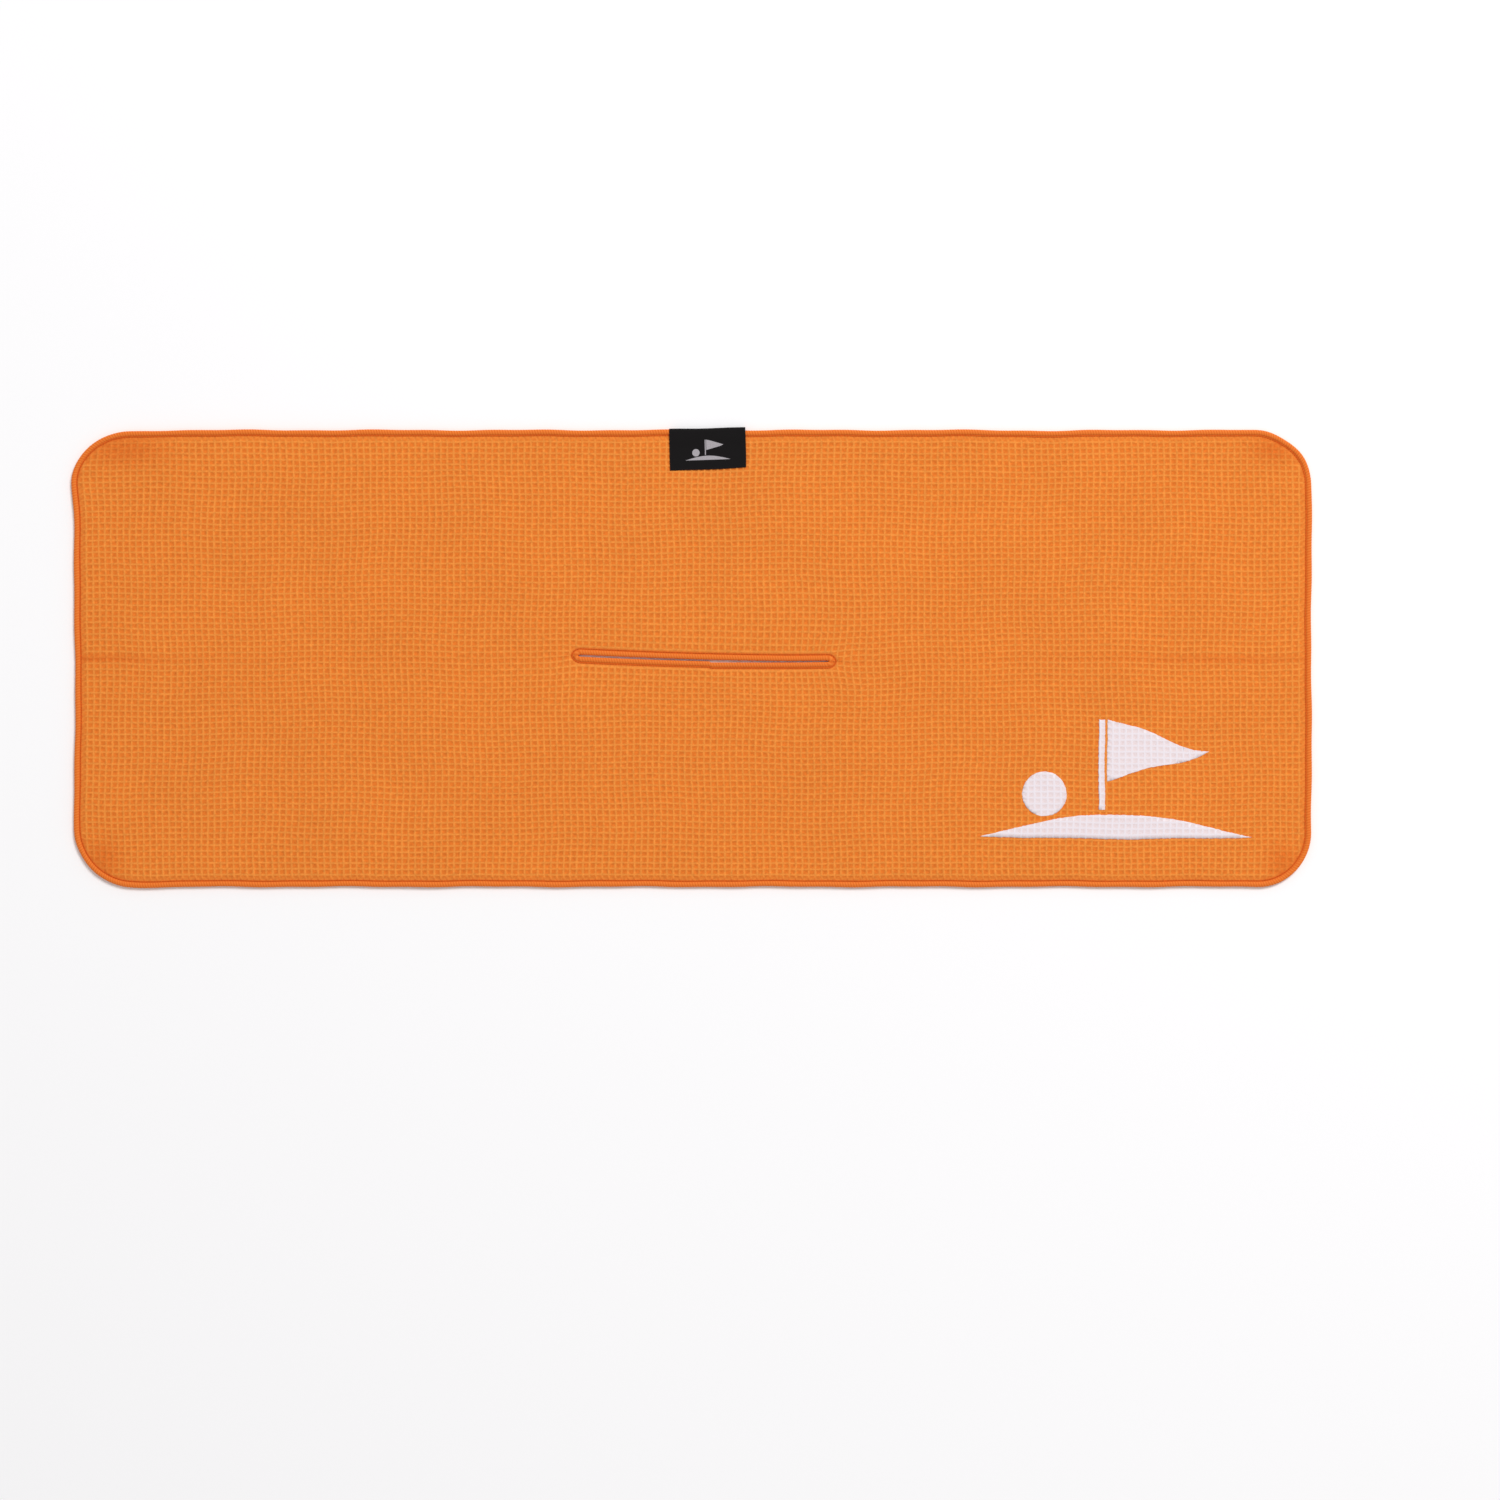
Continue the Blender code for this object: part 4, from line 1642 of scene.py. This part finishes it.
@dataclass(frozen=True)
class Emblem:
    """The outlines of the printed emblem, which the label and the care tab repeat small."""

    flag_wave: float = 3.5 * MM
    flag_steps: int = 14
    green_steps: int = 24
    ball_steps: int = 36

    def outline(self, node: str) -> np.ndarray:
        """The outline of one of the print's islands, on the flat cut.

        Args:
            node: The frame's node for that island.

        Returns:
            Its corner points, anticlockwise.
        """
        low, high = (np.array(corner[:2]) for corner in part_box(node))
        size, middle = high - low, (low + high) / 2
        if node == "print_ball":
            return arc_points(middle, size[0] / 2, 0, 360, self.ball_steps)[:-1]
        if node == "print_green":
            shares = np.linspace(1, 0, self.green_steps + 1)[1:-1]
            x = low[0] + size[0] * shares
            mound = np.stack([x, low[1] + size[1] * np.sin(math.pi * shares)], axis=1)
            return np.concatenate([[low, (high[0], low[1])], mound])
        if node == "print_flag":
            shares = np.arange(self.flag_steps) / self.flag_steps
            x = low[0] + size[0] * shares
            wave = middle[1] + self.flag_wave * np.sin(2 * math.pi * shares) * shares
            half = size[1] / 2 * (1 - shares)
            lower = np.stack([x, wave - half], axis=1)
            upper = np.stack([x, wave + half], axis=1)
            return np.concatenate([lower, [(high[0], middle[1])], upper[::-1]])
        return np.array([low, (high[0], low[1]), high, (low[0], high[1])])

    def islands(self) -> dict[str, np.ndarray]:
        """Every island's outline, by the name of its node."""
        names = ("print_green", "print_pin", "print_flag", "print_ball")
        return {name: self.outline(name) for name in names}

    def small(self, centre: Sequence[float], width: float, turn: float) -> list[np.ndarray]:
        """The emblem again at another size and place.

        Args:
            centre: Where its middle goes, on the flat cut.
            width: How wide it is.
            turn: How far it is turned, in radians.

        Returns:
            The outlines of its islands.
        """
        outlines = list(self.islands().values())
        every = np.concatenate(outlines)
        low, high = every.min(axis=0), every.max(axis=0)
        scale = width / (high[0] - low[0])
        spin = np.array([[math.cos(turn), math.sin(turn)], [-math.sin(turn), math.cos(turn)]])
        return [(o - (low + high) / 2) * scale @ spin + np.asarray(centre) for o in outlines]


@dataclass
class Print:
    """The heat-transfer film of the emblem, bridging the waffle's pits."""

    lay: Lay
    ply: Ply
    emblem: Emblem
    film: float = 0.10 * MM
    sunk: float = 0.05 * MM
    follow: float = 0.42

    def island(self, outline: np.ndarray, material: bpy.types.Material) -> bpy.types.Mesh:
        """Cuts one island of film out of the waffle's lattice and drapes it on the ply."""
        waffle = self.ply.waffle
        mesh = waffle.lattice(material)
        shape = bmesh.new()
        shape.from_mesh(mesh)
        margin = 3 * waffle.column
        faces = list(shape.faces)
        centres = np.array([f.calc_center_median()[:2] for f in faces])
        low, high = outline.min(axis=0) - margin, outline.max(axis=0) + margin
        far = np.flatnonzero(~((centres > low) & (centres < high)).all(axis=1))
        bmesh.ops.delete(shape, geom=[faces[i] for i in far], context="FACES")
        cut_along(shape, outline, 1.5 * waffle.column)
        keep_faces(shape, outline, within=True)
        rim = [e for e in shape.edges if e.is_boundary]
        lips = set(bmesh.ops.extrude_edge_only(shape, edges=rim)["geom"])
        sunk = np.array([v in lips for v in shape.verts])
        bmesh.ops.recalc_face_normals(shape, faces=shape.faces)
        shape.normal_update()
        if sum(f.normal.z * f.calc_area() for f in shape.faces) < 0:
            bmesh.ops.reverse_faces(shape, faces=shape.faces)
        shape.to_mesh(mesh)
        shape.free()
        places = coordinates(mesh)
        flat = places[:, :2].copy()
        places[:, 2] = self.ply.surface(flat, self.follow) + self.film
        places[sunk, 2] = self.ply.surface(flat[sunk]) - self.sunk
        move_to(mesh, self.lay.place(places) + waffle.unevenness(flat))
        note(mesh, "pit", waffle.pit(flat))
        map_cloth(mesh, flat)
        return mesh

    def build(self) -> list[bpy.types.Object]:
        """Builds the four islands of film and returns them."""
        material = PRINT_FILM.material()
        made = []
        for node, outline in self.emblem.islands().items():
            name = node.replace("print", "film")
            film = piece(name, self.island(outline, material), "print_film", [node])
            made.append(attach(film, LOWER))
        return made


# ---------------------------------------------------------------------------------------------------
# The woven label and the care tab


def ribbon(
    line: np.ndarray, left: float, right: float, columns: int, thickness: float
) -> tuple[bpy.types.Mesh, np.ndarray]:
    """A band of tape with a thickness, its centre following a line in the YZ plane.

    Args:
        line: The line's points, as Y and Z.
        left: Where the band starts along X.
        right: Where it ends.
        columns: How many faces it has across.
        thickness: How thick it is.

    Returns:
        The closed mesh, and for each vertex its flat place on the tape.
    """
    shape = bmesh.new()
    run = np.concatenate([[0], np.cumsum(np.linalg.norm(np.diff(line, axis=0), axis=1))])
    grid = [
        [shape.verts.new((x, y, z)) for x in np.linspace(left, right, columns + 1)] for y, z in line
    ]
    for lower, upper in zip(grid, grid[1:]):
        for i in range(columns):
            shape.faces.new((lower[i], lower[i + 1], upper[i + 1], upper[i]))
    mesh = bpy.data.meshes.new("ribbon")
    shape.to_mesh(mesh)
    shape.free()
    host = stand("ribbon", mesh)
    wall = host.modifiers.new("thickness", "SOLIDIFY")
    wall.thickness = thickness
    wall.offset = 0
    graph = bpy.context.evaluated_depsgraph_get()
    solid = bpy.data.meshes.new_from_object(host.evaluated_get(graph))
    bpy.data.objects.remove(host, do_unlink=True)
    bpy.data.meshes.remove(mesh)
    places = coordinates(solid)
    along = []
    for y, z in places[:, 1:]:
        along.append(run[np.argmin((line[:, 0] - y) ** 2 + (line[:, 1] - z) ** 2)])
    return solid, np.stack([places[:, 0], np.array(along)], axis=1)


def turn_about(points: np.ndarray, centre: Sequence[float], angle: float) -> np.ndarray:
    """Turns places about a centre, in the plane of the cloth."""
    turned = points.copy()
    away = points[:, :2] - np.asarray(centre)
    turned[:, 0] = centre[0] + away[:, 0] * math.cos(angle) - away[:, 1] * math.sin(angle)
    turned[:, 1] = centre[1] + away[:, 0] * math.sin(angle) + away[:, 1] * math.cos(angle)
    return turned


def figures(
    outlines: Iterable[np.ndarray], material: bpy.types.Material, step: float = 1.2 * MM
) -> bpy.types.Mesh:
    """Flat figures, finely enough divided to follow cloth that isn't flat.

    Args:
        outlines: Their outlines, on the flat cut.
        material: Their material.
        step: The longest edge that they keep.

    Returns:
        One mesh that holds them all.
    """
    shape = bmesh.new()
    for outline in outlines:
        ring = thread_through(outline, step)
        shape.faces.new([shape.verts.new((x, y, 0)) for x, y in ring])
    bmesh.ops.triangulate(shape, faces=shape.faces, ngon_method="EAR_CLIP")
    for face in shape.faces:
        if face.normal.z < 0:
            face.normal_flip()
    mesh = bpy.data.meshes.new("figures")
    shape.to_mesh(mesh)
    shape.free()
    mesh.materials.append(material)
    return mesh


@dataclass
class Label:
    """The woven label, folded over the top edge, and the black stitches that hold it."""

    lay: Lay
    emblem: Emblem
    seams: Seams
    turn: float = math.radians(2.0)
    thickness: float = 0.3 * MM
    columns: int = 26
    back_rows: int = 13
    fold_rows: int = 10
    front_rows: int = 19
    emblem_width: float = 37 * MM
    emblem_drop: float = 1 * MM
    figure_lift: float = 0.05 * MM
    rest_height: float = 4.72 * MM
    settle: tuple[float, float] = (4.5 * MM, 9 * MM)
    stitch_size: tuple[float, float, float] = (1.8 * MM, 0.5 * MM, 0.4 * MM)

    def line(self) -> np.ndarray:
        """The label's line from its back leaf's end, round the edge of the towel, to its front's."""
        low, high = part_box("woven_label")
        bottom = low.z + self.thickness / 2
        top = high.z - self.thickness / 2
        radius = (top - bottom) / 2
        bend = high.y - self.thickness / 2 - radius
        back = np.linspace(low.y, bend, self.back_rows + 1)[:-1]
        back = np.stack([back, np.full(len(back), bottom)], axis=1)
        fold = arc_points((bend, (top + bottom) / 2), radius, -90, 90, self.fold_rows)
        front = np.linspace(bend, low.y, self.front_rows + 1)[1:]
        share = (bend - front - self.settle[0]) / self.settle[1]
        height = top - (top - self.rest_height) * smooth(share)
        return np.concatenate([back, fold, np.stack([front, height], axis=1)])

    def build(self) -> list[bpy.types.Object]:
        """Builds the label with its woven figure, and its stitches."""
        low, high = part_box("woven_label")
        middle = ((low.x + high.x) / 2, (low.y + high.y) / 2)
        line = self.line()
        tape, tape_map = ribbon(line, low.x, high.x, self.columns, self.thickness)
        tape.materials.append(LABEL_WEAVE.material())
        face_out(tape)
        map_cloth(tape, tape_map)
        centre = (middle[0], middle[1] - self.emblem_drop)
        outlines = self.emblem.small(centre, self.emblem_width, 0.0)
        figure = figures(outlines, LABEL_FIGURE.material())
        raised = coordinates(figure)
        front = line[-self.front_rows - 1 :][::-1]
        under = np.interp(raised[:, 1], front[:, 0], front[:, 1])
        raised[:, 2] = under + self.thickness / 2 + self.figure_lift
        move_to(figure, raised)
        map_cloth(figure, raised)
        low_end, high_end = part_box("label_stitching")
        inset = self.seams.stitch
        reach = (max(low_end.x, low.x + inset), min(high_end.x, high.x - inset))
        seam = ((low_end.y + high_end.y) / 2, self.rest_height + self.thickness / 2)
        guide = closed_curve("label_row", np.array([(x, *seam) for x in reach]))
        guide.data.splines[0].use_cyclic_u = False
        stitches = self.seams.along(
            guide, reach[1] - reach[0], self.stitch_size, 0.0, LABEL_THREAD.material()
        )
        made = []
        for name, mesh, slot, nodes in (
            ("woven_label_cloth", tape, "woven_label_black", ["woven_label"]),
            ("woven_label_figure", figure, "woven_label_black", []),
            ("label_stitches", stitches, "label_thread", ["label_stitching"]),
        ):
            places = turn_about(coordinates(mesh), middle, self.turn)
            move_to(mesh, self.lay.place(places))
            made.append(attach(piece(name, mesh, slot, nodes), UPPER))
        return made


@dataclass
class CareTab:
    """The satin care tab on the reverse, caught in the right-hand seam."""

    lay: Lay
    emblem: Emblem
    thickness: float = 0.16 * MM
    columns: int = 12
    rows: int = 14
    turn: float = math.radians(4.5)
    lift: float = 0.02 * MM
    ink_drop: float = 0.015 * MM
    emblem_width: float = 20 * MM

    def build(self) -> list[bpy.types.Object]:
        """Builds the tab with its small printed emblem."""
        low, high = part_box("care_tab")
        middle = ((low.x + high.x) / 2, (low.y + high.y) / 2)
        height = (low.z + high.z) / 2 + self.lift
        ys = np.linspace(low.y, high.y, self.rows + 1)
        line = np.stack([ys, np.full(len(ys), height)], axis=1)
        tape, tape_map = ribbon(line, low.x, high.x, self.columns, self.thickness)
        tape.materials.append(TAB_SATIN.material())
        face_out(tape)
        map_cloth(tape, tape_map)
        outlines = self.emblem.small(middle, self.emblem_width, math.radians(90))
        ink = figures(outlines, TAB_INK.material())
        places = coordinates(ink)
        places[:, 2] = height - self.thickness / 2 - self.ink_drop
        move_to(ink, places)
        for polygon in ink.polygons:
            polygon.flip()
        map_cloth(ink, places)
        made = []
        for name, mesh, nodes in (
            ("care_tab_satin", tape, ["care_tab"]),
            ("care_tab_ink", ink, []),
        ):
            places = turn_about(coordinates(mesh), middle, self.turn)
            move_to(mesh, self.lay.place(places))
            made.append(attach(piece(name, mesh, "tab_satin", nodes), TAB))
        return made


# ---------------------------------------------------------------------------------------------------
# The studio


@dataclass(frozen=True)
class Studio:
    """A pale floor, soft light from above and to the right, and a camera looking straight down."""

    view_centre: tuple[float, float] = (47.2 * MM, -75.9 * MM)
    view_width: float = 1232 * MM
    lens: float = 85.0
    clip: tuple[float, float] = (0.05, 50.0)
    floor_size: float = 8.0
    floor_gap: float = 0.05 * MM
    floor_colour: str = "#FBFAFB"
    sky: float = 0.52
    key: float = 250.0
    key_place: tuple[float, float, float] = (2.0, 2.8, 5.2)
    key_size: float = 2.3

    def floor(self) -> None:
        """Makes the floor, just under the towel."""
        mesh = bpy.data.meshes.new("studio_floor")
        shape = bmesh.new()
        bmesh.ops.create_grid(shape, x_segments=1, y_segments=1, size=self.floor_size / 2)
        shape.to_mesh(mesh)
        shape.free()
        floor = stand("studio_floor", mesh)
        floor.location.z = -self.floor_gap
        made, tree, shader = principled("matt_white_board")
        looks = {
            "Base Color": linear(self.floor_colour),
            "Roughness": 0.9,
            "Specular IOR Level": 0.1,
        }
        fill(tree, shader, looks)
        mesh.materials.append(made)

    def light(self) -> None:
        """Makes the soft light and the even light of the room."""
        world = bpy.data.worlds.new("studio")
        world.use_nodes = True
        background = world.node_tree.nodes["Background"]
        background.inputs["Color"].default_value = (1, 1, 1, 1)
        background.inputs["Strength"].default_value = self.sky
        bpy.context.scene.world = world
        lamp = bpy.data.lights.new("soft_box", "AREA")
        lamp.shape = "DISK"
        lamp.size = self.key_size
        lamp.energy = self.key
        holder = stand("soft_box", lamp)
        holder.location = self.key_place
        aim = Vector((*self.view_centre, 0)) - holder.location
        holder.rotation_euler = aim.to_track_quat("-Z", "Y").to_euler()

    def camera(self) -> None:
        """Makes the camera, straight above the middle of the view."""
        lens = bpy.data.cameras.new("camera")
        lens.lens = self.lens
        lens.clip_start, lens.clip_end = self.clip
        camera = stand("camera", lens)
        height = self.view_width * self.lens / lens.sensor_width
        camera.location = (*self.view_centre, height)
        bpy.context.scene.camera = camera

    def build(self) -> None:
        """Sets the scene round the towel."""
        self.floor()
        self.light()
        self.camera()
        bpy.context.scene.view_settings.view_transform = "Standard"


def declare_cloth(pieces: dict[str, bpy.types.Object], cut: Cut) -> None:
    """Works out the flat size of each sheet of cloth and looks up the pieces that lie on it, but keeps
    neither.

    Args:
        pieces: Every piece, by name.
        cut: The towel's cut.
    """
    length, width = (float(side) for side in cut.high - cut.low)
    label_low, label_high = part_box("woven_label")
    label = (
        label_high.x - label_low.x,
        2 * (label_high.y - label_low.y) + (label_high.z - label_low.z),
    )
    tab_low, tab_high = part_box("care_tab")
    tab = (tab_high.x - tab_low.x, tab_high.y - tab_low.y)
    seams = [n for n in pieces if n.startswith(("edge_", "slit_", "film_")) and "tick" not in n]
    ticks = [n for n in pieces if "tick" in n]
    for name, flat, held, under, on_it in (
        ("front_waffle", (width, length), "laid", "reverse_waffle", seams),
        ("reverse_waffle", (width, length), "laid", "studio_floor", ticks),
        (
            "woven_label_cloth",
            label,
            "folded",
            "edge_looper_threads",
            ["label_stitches", "woven_label_figure"],
        ),
        ("care_tab_satin", tab, "laid", "studio_floor", ["care_tab_ink"]),
    ):
        [pieces[n] for n in on_it]


def main() -> None:
    """Builds the towel piece by piece round its frame, and the studio it lies in."""
    logging.basicConfig(level=logging.INFO, format="%(message)s")
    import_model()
    cut = Cut.from_frame()
    lay = Lay(cut)
    emblem = Emblem()
    plies = Plies(lay, Waffle(cut))
    seams = Seams(lay, cut)
    made = plies.build()
    made += seams.build()
    made += Print(lay, plies.front, emblem).build()
    made += Label(lay, emblem, seams).build()
    made += CareTab(lay, emblem).build()
    declare_cloth({o.name: o for o in made}, cut)
    Studio().build()


if __name__ == "__main__":
    main()
